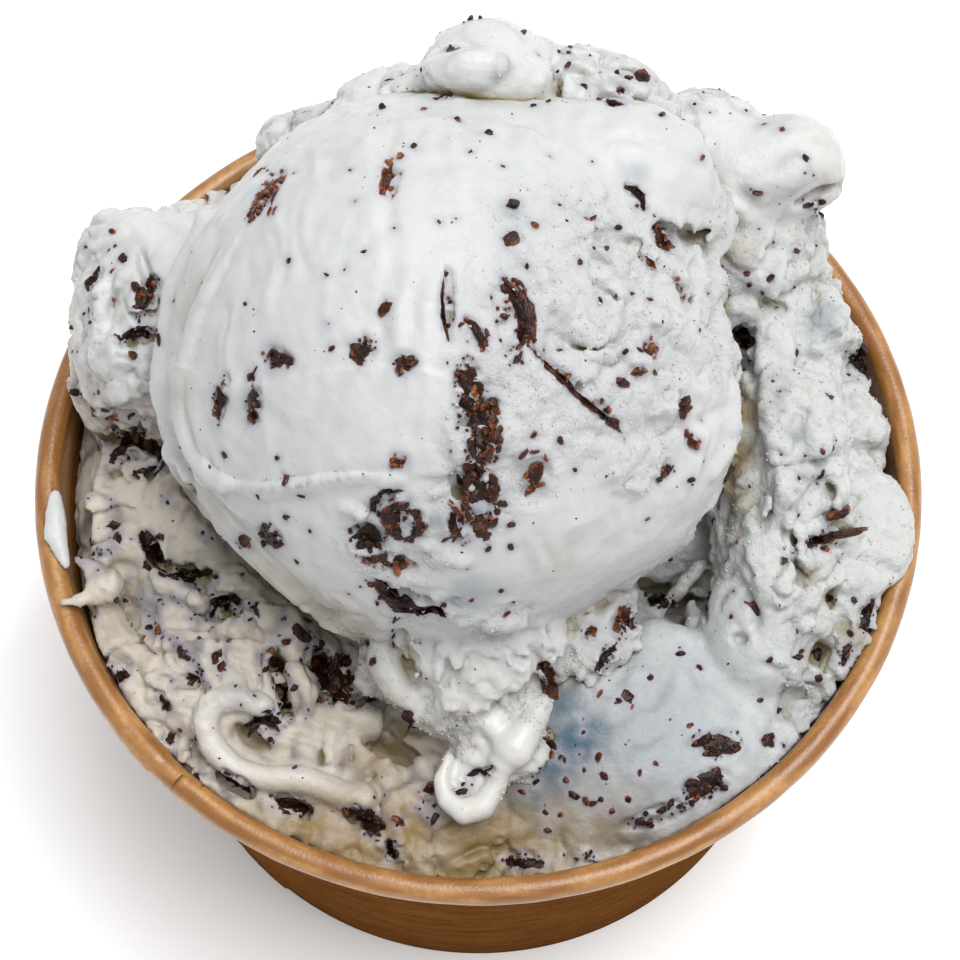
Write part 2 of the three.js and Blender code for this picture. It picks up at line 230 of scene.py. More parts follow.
def smooth_path(points, count):
    """Evenly numbered points on a smooth curve through the given ones."""
    points = np.array(points, float)
    ends = np.vstack((2 * points[0] - points[1], points, 2 * points[-1] - points[-2]))
    result = []
    for t in np.linspace(0, len(points) - 1 - 1e-9, count):
        i, u = int(t), t - int(t)
        a, b, c, d = ends[i : i + 4]
        curve = 2 * b + (c - a) * u + (2 * a - 5 * b + 4 * c - d) * u**2
        result.append((curve + (3 * b - 3 * c + d - a) * u**3) / 2)
    return np.array(result)


def melt(a, b, softness):
    """The lesser of two distances, with the crease between the two shapes filled in."""
    overlap = np.maximum(softness - np.abs(a - b), 0) / softness
    return np.minimum(a, b) - overlap * overlap * softness / 4


class Field:
    """How far each point of a grid lies outside the ice cream, below 0 inside."""

    def __init__(self, low, high):
        self.start = np.round(np.array(low) / VOXEL).astype(int)
        self.sides = [
            (np.arange(a, round(b / VOXEL)) * VOXEL).astype(np.float32)
            for a, b in zip(self.start, high)
        ]
        self.gap = np.full([len(side) for side in self.sides], FAR, np.float32)

    def twin(self):
        """A second field with the same gaps, for use while the first one changes."""
        other = copy(self)
        other.gap = self.gap.copy()
        return other

    def window(self, low, high):
        """Slices of the grid that hold a box, and the coordinates along each of its sides."""
        first = np.maximum(np.floor(np.array(low) / VOXEL).astype(int) - self.start, 0)
        last = np.maximum(np.ceil(np.array(high) / VOXEL).astype(int) - self.start + 1, 0)
        cut = tuple(slice(a, b) for a, b in zip(first, last))
        x, y, z = (side[part] for side, part in zip(self.sides, cut))
        return cut, (x[:, None, None], y[None, :, None], z[None, None, :])

    def axes(self):
        """The coordinates along each side, shaped to spread over the whole grid."""
        x, y, z = self.sides
        return x[:, None, None], y[None, :, None], z[None, None, :]

    def join(self, shape, softness):
        cut, place = self.window(shape.low - FAR, shape.high + FAR)
        self.gap[cut] = melt(self.gap[cut], shape.outside(*place), softness)

    def carve(self, shape, softness):
        cut, place = self.window(shape.low - 2, shape.high + 2)
        self.gap[cut] = -melt(-self.gap[cut], shape.outside(*place), softness)

    def roughen(self, relief):
        """Moves the surface outwards by relief, worked out for the points near the surface."""
        near = np.nonzero(np.abs(self.gap) < BAND)
        points = np.stack([side[index] for side, index in zip(self.sides, near)], axis=1)
        self.gap[near] -= relief(points)

    def sample(self, points):
        """The gap at any points, from the eight grid points round each."""
        place = points / VOXEL - self.start
        cell = np.clip(np.floor(place).astype(int), 0, np.array(self.gap.shape) - 2)
        part = np.clip(place - cell, 0, 1)
        total = np.zeros(len(points))
        for corner in np.ndindex(2, 2, 2):
            x, y, z = (cell + corner).T
            total += np.prod(np.where(corner, part, 1 - part), axis=1) * self.gap[x, y, z]
        return total


def met(field, px, py):
    """Where the sight line through a pixel enters a field's ice cream, and the way it faces there."""
    way = sight(px, py)
    steps = np.arange(0, 72, 0.25)
    line = at_height(px, py, field.sides[2][-1] - 1) + way * steps[:, None]
    inside = np.nonzero(field.sample(line) < 0)[0]
    place = line[inside[0]] if len(inside) else at_height(px, py, RIM_HEIGHT)
    around = place + 1.2 * np.vstack((np.eye(3), -np.eye(3)))
    gaps = field.sample(around)
    normal = gaps[:3] - gaps[3:]
    return place, normal / max(np.linalg.norm(normal), 1e-6)


def lay_ropes(field, ropes):
    """Folds laid on a surface, each given as its radius, how far it stands out, and its pixels."""
    base = field.twin()
    for radius, rise, *seen in ropes:
        hits = [met(base, *pixel) for pixel in seen]
        laid = [place + normal * (rise - radius) for place, normal in hits]
        field.join(rope(laid, radius), 0.5)


def cut_gaps(field, gaps):
    """Gaps that narrow downwards, each given as its radius, its depth and its pixels."""
    base = field.twin()
    for radius, depth, *seen in gaps:
        path = smooth_path(seen, 4 * len(seen)) if len(seen) > 2 else np.linspace(*seen, 6)
        hits = [met(base, *pixel) for pixel in path]
        taper = np.sin(np.linspace(0.2, 0.85, len(hits)) * math.pi)
        for level in np.arange(0, depth, 0.5):
            narrow = radius * taper * (1 - 0.6 * level / depth)
            field.carve(rope([place - normal * level for place, normal in hits], narrow), 0.3)


# ---- Surfaces ----------------------------------------------------------------------------------
class Skin:
    """The surface of a field as points, in millimetres, and four-sided faces."""

    def __init__(self, field):
        grid = openvdb.FloatGrid()
        grid.copyFromArray(field.gap)
        points, faces = grid.convertToQuads(isovalue=0.0)
        self.points = (points + field.start) * VOXEL
        self.faces = faces.astype(np.int64)
        self.keep_biggest()
        self.measure()

    def keep_biggest(self):
        """Drops every scrap that isn't joined to the biggest body."""
        name = np.arange(len(self.points))
        while True:
            least = name[self.faces].min(1)
            before = name.copy()
            np.minimum.at(name, self.faces, least[:, None])
            name = name[name]
            if (name == before).all():
                break
        body = np.bincount(name[self.faces[:, 0]]).argmax()
        kept = name == body
        self.faces = self.faces[kept[self.faces[:, 0]]]
        order = np.cumsum(kept) - 1
        self.points = self.points[kept]
        self.faces = order[self.faces]

    def measure(self):
        """Works out the direction of the surface at each point."""
        a, b, c, d = (self.points[self.faces[:, i]] for i in range(4))
        facing = np.cross(c - a, d - b)
        self.normals = np.zeros_like(self.points)
        for i in range(4):
            np.add.at(self.normals, self.faces[:, i], facing)
        self.normals /= np.maximum(np.linalg.norm(self.normals, axis=1, keepdims=True), 1e-9)

    def push(self, relief):
        self.points = self.points + self.normals * np.asarray(relief)[:, None]
        self.measure()

    def tree(self):
        return BVHTree.FromPolygons(self.points.tolist(), self.faces.tolist())


def to_mesh(name, points, faces, smooth=True, **weights):
    """A Blender object from points in millimetres, with a number or colour at each point."""
    mesh = bpy.data.meshes.new(name)
    mesh.from_pydata([], [], [])
    mesh.vertices.add(len(points))
    mesh.vertices.foreach_set("co", (np.asarray(points) * MM).astype(np.float32).ravel())
    corners = np.concatenate([np.ravel(face) for face in faces])
    counts = np.concatenate([np.full(len(face), face.shape[1]) for face in faces])
    mesh.loops.add(len(corners))
    mesh.loops.foreach_set("vertex_index", corners.astype(np.int32))
    mesh.polygons.add(len(counts))
    mesh.polygons.foreach_set("loop_start", (np.cumsum(counts) - counts).astype(np.int32))
    mesh.update(calc_edges=True)
    mesh.validate()
    mesh.shade_smooth() if smooth else mesh.shade_flat()
    for weight, values in weights.items():
        layer = mesh.attributes.new(weight, "FLOAT", "POINT")
        layer.data.foreach_set("value", np.asarray(values, np.float32))
    piece = bpy.data.objects.new(name, mesh)
    bpy.context.scene.collection.objects.link(piece)
    return piece


# ---- The scoop: its field ----------------------------------------------------------------------
LEDGE = [
    lump(13, 18.5, 93, 11, 8, 6),
    lump(19.5, 17, 86.5, 7.5, 6, 5),
    lump(11.5, 0, 76, 15.5, 18, 17),
]
CHUNK = [
    lump(-1, -25, 62.5, 9.5, 7, 6),
    lump(2, -32, 59.8, 5.5, 4.5, 4),
    lump(9.3, -20.5, 63, 8, 5.6, 4),
    lump(-10, -24, 61, 3.2),
    lump(13.5, -17.5, 63.5, 3.3),
    lump_seen(470, 688, 67.2, 3.8, 3.0, 2.2),
    lump_seen(440, 655, 68.8, 3.2, 3.4, 2.4),
    lump_seen(472, 655, 69.2, 3.2, 3.6, 2.4),
    lump_seen(508, 657, 68.6, 3.6, 3.6, 2.4),
    lump_seen(425, 628, 69.5, 3.6, 3.6, 2.6),
    lump_seen(460, 622, 70.5, 4.0, 4.2, 2.6),
    lump_seen(505, 625, 70.0, 4.4, 4.2, 2.8),
    lump_seen(543, 634, 68.5, 2.8, 3.6, 2.4),
]
# The parts of the chunk that have melted smooth: a rolled edge, round drops and the drip's ring.
CHUNK_EDGE = seen_path((425, 614, 68.5), (402, 618, 68.2), (387, 636, 67.4), (385, 660, 66.4),
                       (396, 684, 65.4), (414, 702, 64.4))
LOBE = seen_path((540, 706, 64.6), (528, 728, 64.2), (512, 748, 63.6), (502, 762, 62.8))
DRIP_RING = seen_path((449, 758, 61.6), (441, 780, 61.2), (447, 800, 60.8), (464, 811, 60.6),
                      (482, 806, 60.8), (495, 788, 61.4), (501, 768, 62.4))
CHUNK_DROPS = [
    rope(CHUNK_EDGE, (1.0, 1.4, 1.7, 1.9, 1.7, 1.2)),
    rope(LOBE, (1.3, 1.7, 2.3, 1.7)),
    lump_seen(494, 722, 64.4, 1.5, 2.0, 1.4),
    lump_seen(417, 716, 61.5, 1.2, 1.0, 1.2),
    lump_seen(470, 778, 60.0, 2.6, 3.2, 1.7),
    rope(DRIP_RING, (0.6, 0.8, 1.1, 1.45, 1.4, 1.2, 1.1)),
]
# The crisp edge of the layer that the spoon has rolled up, and how thick it is there.
ROLLED_EDGE = [(237, 241), (205, 305), (187, 365), (184, 405), (198, 450), (242, 488), (278, 490),
               (303, 486), (350, 479), (401, 479)]
EDGE_RADII = (0.5, 0.8, 0.9, 0.9, 1.0, 0.9, 0.8, 0.8, 0.7, 0.4)
# Clumps and ledges of the ball: radius, how far they stand out, and the pixels they run through.
SCOOP_FOLDS = [
    (1.8, 1.1, (172, 450), (195, 488), (238, 538), (290, 588), (335, 620), (375, 636)),
    (2.0, 1.1, (714, 285), (722, 300)), (1.8, 1.1, (733, 395), (730, 425)),
    (1.6, 0.9, (728, 445), (713, 470)), (1.6, 0.8, (600, 250), (620, 262)),
    (1.5, 0.8, (655, 320), (690, 345)), (1.8, 0.8, (560, 300), (585, 330)),
    (1.4, 0.8, (700, 270), (712, 300)), (1.6, 0.7, (600, 345), (640, 360)),
    (1.4, 0.7, (560, 225), (590, 230)), (1.5, 0.8, (670, 370), (700, 390)),
    (1.6, 0.8, (520, 250), (540, 275)), (1.5, 0.9, (650, 215), (690, 222)),
    (1.2, 0.8, (450, 612), (500, 616), (540, 622)), (1.0, 0.6, (430, 545), (462, 560)),
    (1.0, 0.6, (345, 505), (365, 515)), (1.2, 0.6, (395, 575), (425, 580)),
    (1.1, 0.6, (505, 440), (520, 460)), (1.4, 0.35, (372, 140), (425, 122)),
    (1.5, 0.4, (520, 132), (566, 152)), (1.5, 0.4, (452, 172), (505, 190)),
    (1.3, 0.7, (640, 395), (680, 410)), (1.4, 0.7, (700, 440), (690, 475)),
]
# Cracks in the ball: radius, depth, and the pixels they run through.
SCOOP_GAPS = [
    (1.1, 1.8, (660, 226), (690, 238), (716, 226)), (0.6, 1.2, (693, 243), (711, 258)),
    (0.4, 1.2, (457, 462), (456, 482), (461, 504)), (0.3, 1.0, (434, 98), (452, 94), (470, 97)),
    (0.6, 1.2, (385, 598), (420, 613), (448, 604)), (0.5, 0.8, (640, 252), (668, 270), (693, 299)),
    (0.6, 0.9, (600, 230), (640, 240)), (0.5, 0.9, (545, 330), (590, 350), (640, 330)),
    (0.6, 0.9, (700, 320), (712, 350), (700, 380)), (0.5, 0.8, (590, 280), (620, 300)),
]
# The spoon's edge, seen from the top of the scoop's left side round to its front.
LIP_SEEN = [(204, 222), (176, 290), (158, 367), (162, 417), (176, 446), (195, 471)]
LIP_RADIUS = 1.9
# Where the chunk is smooth and wet, as (middle, radius).
WET = [(place, 1.8) for place in CHUNK_EDGE] + [
    (at_height(px, py, z), radius) for px, py, z, radius in (
        (512, 750, 63.4, 3.6), (500, 728, 64, 2.6), (536, 716, 63.6, 2.2), (417, 716, 61.5, 2.0),
        (466, 790, 60, 4.4),
    )
]
# Where the ball is torn and snow-like: pixel and radius.
TORN = [(on_scoop(px, py), radius) for px, py, radius in (
    (600, 320, 15), (700, 300, 9), (735, 400, 6), (690, 230, 7), (640, 450, 5), (540, 230, 6),
    (395, 548, 6), (480, 430, 4), (475, 500, 5), (738, 450, 5), (722, 510, 4), (690, 560, 4),
    (650, 600, 4), (335, 612, 4.5), (372, 632, 4), (425, 612, 5), (520, 480, 4), (500, 620, 4),
)]
# Holes in the ball, most of them with chocolate in them: pixel, radius and depth.
HOLES = [(369, 538, 1.7, 1.3), (738, 335, 1.3, 1.6), (743, 372, 1.1, 1.0), (404, 520, 1.6, 0.7)]


def fluff(points, size, seed):
    """Torn, snow-like relief: waves of one size with finer ones on them."""
    waves = noise(points, size, seed) + 0.55 * noise(points, 0.47 * size, seed + 1)
    return waves + 0.3 * noise(points, 0.23 * size, seed + 2)


def scoop_relief(points):
    torn = spots(points, TORN)
    upper = ease(points[:, 2], 60, 66)
    crumbly = 0.3 * grains(points, 1.5, 3) - 0.1
    under_top = ease(SCOOP_AT[2] + SCOOP_RADIUS - points[:, 2], 0.3, 4)
    rough = torn * (0.8 * fluff(points, 4.0, 1) + crumbly)
    return upper * under_top * (rough + 0.25 * noise(points, 7, 4))


def chunk_relief(points):
    crumbs = 0.8 * grains(points, 1.8, 5) + 0.5 * grains(points, 1.0, 6) - 0.65
    return crumbs + 0.7 * fluff(points, 3.0, 7) - 0.5 * bell(noise(points, 3.6, 9), 0.12)


def make_scoop_field():
    """The ball with its lip, rolled edge and torn side, and the chunk that hangs off its front."""
    field = Field(*SCOOP_GRID)
    field.join(lump(*SCOOP_AT, SCOOP_RADIUS), 0.1)
    lip = smooth_path([on_scoop(*seen) for seen in LIP_SEEN], 16)
    fade = 0.55 + 0.45 * np.sin(np.linspace(0.15, 0.9, len(lip)) * math.pi)
    field.join(rope(lip, LIP_RADIUS * fade), 0.9)
    edge = [on_scoop(*seen) for seen in ROLLED_EDGE]
    swell = np.interp(np.linspace(0, len(EDGE_RADII) - 1, 30), range(len(EDGE_RADII)), EDGE_RADII)
    field.join(rope(smooth_path(edge, 30), swell), 0.35)
    torn_side = Field(*SCOOP_GRID)
    for each in LEDGE:
        torn_side.join(each, 4)
    field.gap = melt(field.gap, torn_side.gap, 3)
    lay_ropes(field, SCOOP_FOLDS)
    cut_gaps(field, SCOOP_GAPS)
    field.roughen(scoop_relief)
    front = Field(*SCOOP_GRID)
    for each in CHUNK:
        front.join(each, 1.2)
    front.roughen(chunk_relief)
    for each in CHUNK_DROPS:
        front.join(each, 0.5)
    field.gap = melt(field.gap, front.gap, 0.3)
    for px, py, radius, depth in HOLES:
        place = on_scoop(px, py)
        out = (place - SCOOP_AT) / SCOOP_RADIUS
        field.carve(lump(*(place + out * (radius - depth)), radius), 0.5)
    return field


# ---- The packed ice cream: its field -------------------------------------------------------------
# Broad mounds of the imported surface: middle and radii.
MOUNDS = [
    (16, -26, 50, 24, 17, 13),
    (-26, -19, 52, 15, 13, 8.5),
    (39.5, -2, 55, 6.5, 24, 8.5),
    (-36, -4, 52, 9, 14, 9),
    (-3, -39, 50, 15, 6, 7),
    (0, 20, 56, 30, 22, 12),
]
PIT = (22.5, -14)
BACK_HEAP = [
    lump(2, 28, 67, 24.5, 15.5, 19),
    lump(1.2, 30, 89.7, 7.4, 7.6, 8.4),
    lump(8.4, 29.5, 87.5, 7.5, 6.8, 6.8),
    lump(-1.5, 29.5, 85.5, 7.5, 7.5, 6.5),
    lump(13, 29, 84.5, 8),
    lump(24, 28, 78, 8.5),
    lump(24, 24, 70, 14, 14, 14),
    lump(-17, 36, 69, 8, 4.6, 5),
    lump(-9, 33, 76, 8, 7, 8),
]
# Torn bumps in front of the highest part of the heap, where the ball was pushed against it.
BACK_BUMPS = [
    lump_seen(441, 68, 95.6, 1.9), lump_seen(455, 60, 96.8, 1.7), lump_seen(470, 65, 97.4, 1.8),
    lump_seen(484, 62, 97.6, 1.6), lump_seen(497, 67, 97.2, 1.5), lump_seen(428, 84, 93.6, 2.2),
    lump_seen(446, 84, 95.2, 2.2), lump_seen(466, 82, 96.2, 2.0), lump_seen(487, 82, 96.4, 2.0),
    lump_seen(508, 80, 95.6, 2.2), lump_seen(528, 82, 94.6, 2.4), lump_seen(408, 98, 90.8, 2.4),
]
BACK_ARM = [lump(28, 25, 80, 8, 6.5, 6.5), lump(33.6, 25.6, 82, 5.6)]
LEFT_HEAP = [
    lump(-35, 15, 65, 10.5, 13, 12),
    lump(-39, 21, 70, 5.5),
    lump(-31, 24, 68, 5),
    lump(-37, 7.5, 72, 4.4, 4, 3.4),
    lump(-40, 8.5, 63.5, 5, 5, 5.5),
]
RIGHT_RIDGE = [
    lump(33, 16, 61, 8, 11, 12.5),
    lump(33, 2, 61, 7.5, 12, 12),
    lump(32, -11, 60, 7, 10, 9.5),
    lump(29.5, -20, 59, 6, 7, 6.5),
]
RIM_TONGUES = [
    rope(seen_path((64, 603, 60.4), (82, 601, 60.2), (104, 590, 60)), (0.4, 0.8, 1.5)),
    rope(seen_path((78, 560, 60.2), (92, 570, 60), (108, 584, 60)), (0.5, 1.0, 1.5)),
    lump(43.8, -7.5, 60.6, 3.6, 6.5, 2.4),
]
# A strand of ice cream that spans the pit beside the ball.
STRAND = seen_path((646, 622, 56.5), (672, 598, 55.8), (700, 566, 57.5))
# The poured curl, from its inner end to its outer one, and how far its wetness reaches.
CURL_SEEN = [(262, 706), (237, 698), (214, 704), (205, 723), (211, 744), (226, 761), (245, 773),
             (272, 779), (295, 778), (318, 785), (343, 796), (362, 799)]
CURL_WET = 2.0
BED_LOW = 46.0  # the field starts here, and straight sides go down from it
SIDE_HEIGHT = 53.0  # below this the ice cream touches the wall all round
# Where it has drawn back from the wall above that: how far, at which compass angle, and how widely.
DRAWN_BACK = [(3.4, 186, 12), (2.4, 176, 5), (2.2, 17, 8), (1.6, 358, 5)]
# Where the packed ice cream is smooth, as (middle, radius).
SMOOTH_BED = [((16, -27, 60), 16), ((-22, -33, 60), 7), ((1, 31, 97), 7), ((31, 26, 84), 8),
              ((-35, 20, 76), 6)]
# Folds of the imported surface: radius, how far they stand out, and the pixels they run through.
FOLDS = [
    (3.4, 1.2, (98, 455), (95, 505), (110, 545)), (2.0, 1.1, (125, 455), (150, 458)),
    (4.0, 1.5, (175, 495), (205, 540)), (2.6, 1.1, (92, 515), (130, 545)),
    (1.5, 1.2, (157, 580), (185, 592), (215, 616)), (2.6, 1.3, (228, 578), (240, 598)),
    (1.6, 0.9, (222, 612), (245, 608)), (3.0, 0.9, (170, 640), (205, 640)),
    (2.6, 0.9, (105, 610), (125, 650)), (2.2, 1.3, (250, 600), (295, 632)),
    (1.8, 1.3, (290, 650), (308, 700)), (1.7, 1.1, (345, 712), (385, 722)),
    (1.6, 1.1, (268, 735), (290, 738)), (1.5, 1.0, (303, 735), (308, 765)),
    (1.5, 1.0, (328, 740), (332, 768)), (1.7, 1.2, (385, 770), (398, 808)),
    (1.6, 0.8, (292, 828), (322, 840)), (1.4, 0.8, (340, 842), (372, 846)),
    (2.2, 0.9, (410, 850), (450, 862)), (1.8, 0.8, (225, 800), (262, 818)),
    (1.6, 0.8, (150, 680), (185, 700)), (1.5, 0.9, (238, 640), (270, 650)),
    (2.6, 1.2, (740, 262), (765, 288)), (1.3, 0.9, (735, 308), (745, 315)),
    (2.2, 1.4, (775, 330), (778, 420), (780, 520)), (1.4, 1.3, (806, 348), (814, 354)),
    (2.6, 1.2, (835, 320), (855, 350)), (3.2, 1.5, (850, 400), (875, 430)),
    (3.0, 1.5, (860, 470), (880, 510)), (2.8, 1.4, (838, 440), (832, 500)),
    (2.6, 1.2, (815, 400), (818, 440)), (1.8, 1.3, (768, 590), (782, 592)),
    (2.6, 1.2, (838, 560), (870, 590)), (2.0, 1.0, (795, 670), (825, 690)),
    (2.2, 0.9, (790, 625), (830, 620)), (2.4, 1.0, (655, 630), (685, 640)),
    (2.6, 0.6, (742, 385), (738, 430), (728, 475), (716, 520)), (1.3, 1.4, (694, 592), (697, 628)),
    (1.8, 0.9, (840, 650), (830, 675)), (2.0, 1.0, (700, 200), (745, 215)),
    (2.2, 1.1, (760, 190), (800, 170)), (2.0, 1.5, (436, 74), (462, 66), (492, 62)),
    (1.5, 1.2, (452, 82), (478, 76)), (2.4, 1.2, (600, 75), (630, 90)),
    (1.8, 1.0, (100, 300), (95, 340)), (2.0, 1.4, (120, 352), (145, 358)),
    (1.6, 1.0, (170, 215), (200, 220)), (1.8, 1.0, (130, 390), (105, 405)),
]
# Gaps between the folds: radius, depth, and the pixels they run through.
GAPS = [
    (0.8, 1.6, (102, 423), (128, 436), (152, 430)), (0.6, 1.3, (116, 472), (135, 480), (158, 468)),
    (0.7, 1.6, (145, 531), (157, 560), (181, 573), (210, 575)),
    (0.8, 1.8, (209, 600), (228, 598), (253, 600)), (1.1, 2.8, (322, 655), (326, 686)),
    (0.7, 1.7, (320, 700), (350, 699), (381, 702)), (0.8, 2.0, (389, 712), (404, 733)),
    (0.5, 1.1, (278, 665), (284, 695), (294, 723)), (1.0, 1.8, (238, 727), (252, 738), (268, 748)),
    (1.4, 2.6, (366, 742), (395, 750), (425, 762)), (0.7, 1.8, (222, 772), (252, 794)),
    (0.7, 1.8, (276, 797), (310, 808)), (0.9, 2.0, (348, 814), (385, 828)),
    (0.8, 1.8, (390, 843), (396, 856)), (0.5, 1.1, (320, 746), (321, 767)),
    (0.5, 1.1, (345, 722), (352, 757)), (1.3, 3.2, (738, 330), (744, 348)),
    (0.6, 1.4, (727, 380), (747, 370)), (0.6, 1.2, (797, 364), (808, 367)),
    (0.6, 1.4, (788, 562), (803, 578), (820, 572)), (0.5, 1.1, (824, 497), (842, 491)),
    (0.5, 1.2, (794, 711), (825, 707)), (1.6, 3.4, (650, 585), (668, 602), (686, 600)),
    (0.9, 2.6, (702, 592), (708, 622)), (0.7, 1.5, (734, 636), (745, 640)),
    (0.6, 1.2, (760, 300), (790, 310)), (0.7, 1.6, (556, 62), (560, 95)),
    (0.6, 1.4, (133, 334), (145, 333), (157, 338)), (0.7, 1.4, (115, 374), (140, 380)),
    (0.6, 1.2, (140, 250), (150, 290)), (0.7, 1.5, (800, 206), (840, 186)),
    (0.6, 1.2, (850, 440), (880, 452)), (0.6, 1.2, (800, 540), (860, 530)),
]


def packed_top(x, y):
    """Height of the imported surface."""
    top = RIM_HEIGHT - 2.8 + 0.045 * y + 0.03 * np.abs(x)
    for mx, my, mz, rx, ry, rz in MOUNDS:
        off = ((x - mx) / rx) ** 2 + ((y - my) / ry) ** 2
        mound = np.where(off < 1, mz + rz * np.sqrt(np.maximum(1 - off, 0)), 0)
        top = -melt(-top, -mound, 2.5)
    return top - 8 * bell(np.hypot(x - PIT[0], y - PIT[1]), 4.2)


def shrinkage(azimuth):
    """How far the ice cream has drawn back from the wall, by compass angle."""
    total = 0
    for reach, middle, width in DRAWN_BACK:
        off = np.abs((azimuth - middle + 540) % 360 - 180)
        total = total + reach * bell(off, width)
    return total


def wall_inside(height):
    part = height / BEAD_HEIGHT
    return FOOT_RADIUS + (WALL_TOP - FOOT_RADIUS) * part - PAPER


def bed_relief(points):
    smooth = spots(points, SMOOTH_BED)
    rough = 1 - 0.85 * smooth
    right = ease(points[:, 0], 14, 26) * ease(-points[:, 2], -80, -74)
    warped = points + 1.2 * np.column_stack([noise(points, 5, seed) for seed in (15, 16, 17)])
    creases = bell(noise(warped, 6.5, 18), 0.1) * ease(noise(points, 14, 19), -0.5, 0.2)
    clods = (0.2 + 0.45 * right) * (grains(warped, 2.2, 13) - 0.35)
    crumbs = 0.35 * right * (grains(points, 1.2, 20) - 0.3)
    torn = 0.65 * fluff(warped, 4.6, 11) + clods + crumbs - 0.9 * creases
    return rough * torn + 0.35 * noise(points, 8, 14)


def lay_curl(field):
    """A poured rope of melted ice cream that turns back on itself; gives its path."""
    seen = smooth_path(CURL_SEEN, 28)
    laid = np.array([met(field, px, py)[0] for px, py in seen])
    heights = np.convolve(np.pad(laid[:, 2], 3, mode="edge"), np.ones(7) / 7, mode="valid")
    path = [at_height(px, py, z + 0.7) for (px, py), z in zip(seen, heights)]
    part = np.linspace(0, 1, len(path))
    swell = np.interp(part, (0, 0.15, 0.5, 0.85, 1), (1.3, 1.55, 1.35, 1.5, 1.75))
    field.join(rope(path, swell), 0.6)
    return path


def keep_clear_of_cup(field):
    """Leaves only what is inside the cup's wall and outside the roll of its rim."""
    x, y, z = field.axes()
    radius = np.sqrt(x * x + y * y)
    azimuth = np.degrees(np.arctan2(y, x))
    shrunk = shrinkage(azimuth) * ease(z, SIDE_HEIGHT, RIM_HEIGHT - 2)
    within = np.minimum(wall_inside(z), wall_inside(BEAD_HEIGHT)) - WALL_GAP - shrunk
    beyond_wall = np.where(z < RIM_HEIGHT + 0.4, radius - within, -FAR)
    bead = np.hypot(radius - BEAD_RADIUS, z - BEAD_HEIGHT) - BEAD - WALL_GAP
    over_rim = (z > BEAD_HEIGHT) & (shrunk < 0.4)
    clear = np.where(over_rim, -bead, beyond_wall)
    clear = np.maximum(clear, radius - RIM_RADIUS + 0.3)
    field.gap = np.maximum(field.gap, clear).astype(np.float32)
    field.gap = np.maximum(field.gap, (BED_LOW - z).astype(np.float32))


def keep_clear_of_scoop(field, scoop):
    """Takes away what the scoop fills, but for a thin overlap."""
    cut, _ = field.window([side[0] for side in scoop.sides], [side[-1] for side in scoop.sides])
    part = field.gap[cut]
    skip = np.maximum(field.start - scoop.start, 0)
    room = scoop.gap[skip[0]:, skip[1]:, skip[2]:]
    shared = tuple(slice(0, min(a, b)) for a, b in zip(part.shape, room.shape))
    part[shared] = np.maximum(part[shared], -OVERLAP - room[shared])


def make_bed_field(scoop):
    """The packed ice cream and its heaps, fitted to the cup and the scoop, and the curl's path."""
    field = Field(*GRID)
    x, y, z = field.axes()
    top = packed_top(x[:, :, 0], y[:, :, 0])[:, :, None]
    field.gap = np.clip(0.9 * (z - top), -FAR, FAR).astype(np.float32)
    heaps = ((BACK_HEAP, 3), (BACK_ARM, 2), (BACK_BUMPS, 1.2), (LEFT_HEAP, 1.5), (RIGHT_RIDGE, 3))
    for lumps, softness in heaps:
        heap = Field(*GRID)
        for each in lumps:
            heap.join(each, softness)
        field.gap = melt(field.gap, heap.gap, 1.2)
    lay_ropes(field, FOLDS)
    cut_gaps(field, GAPS)
    field.roughen(bed_relief)
    for each in RIM_TONGUES:
        field.join(each, 1.6)
    field.join(rope(STRAND, 0.8), 0.8)
    curl = lay_curl(field)
    keep_clear_of_cup(field)
    keep_clear_of_scoop(field, scoop)
    return field, curl


scoop_field = make_scoop_field()
bed_field, curl = make_bed_field(scoop_field)
wet_places = WET + [(place, CURL_WET) for place in curl]
scoop = Skin(scoop_field)
bed = Skin(bed_field)


# ---- Finer relief ------------------------------------------------------------------------------
def seen_on(tree, px, py):
    """Where the sight line through a pixel first meets a surface."""
    place, normal, _, away = tree.ray_cast(Vector(EYE), Vector(sight(px, py)))
    return (None, None, math.inf) if place is None else (np.array(place), np.array(normal), away)


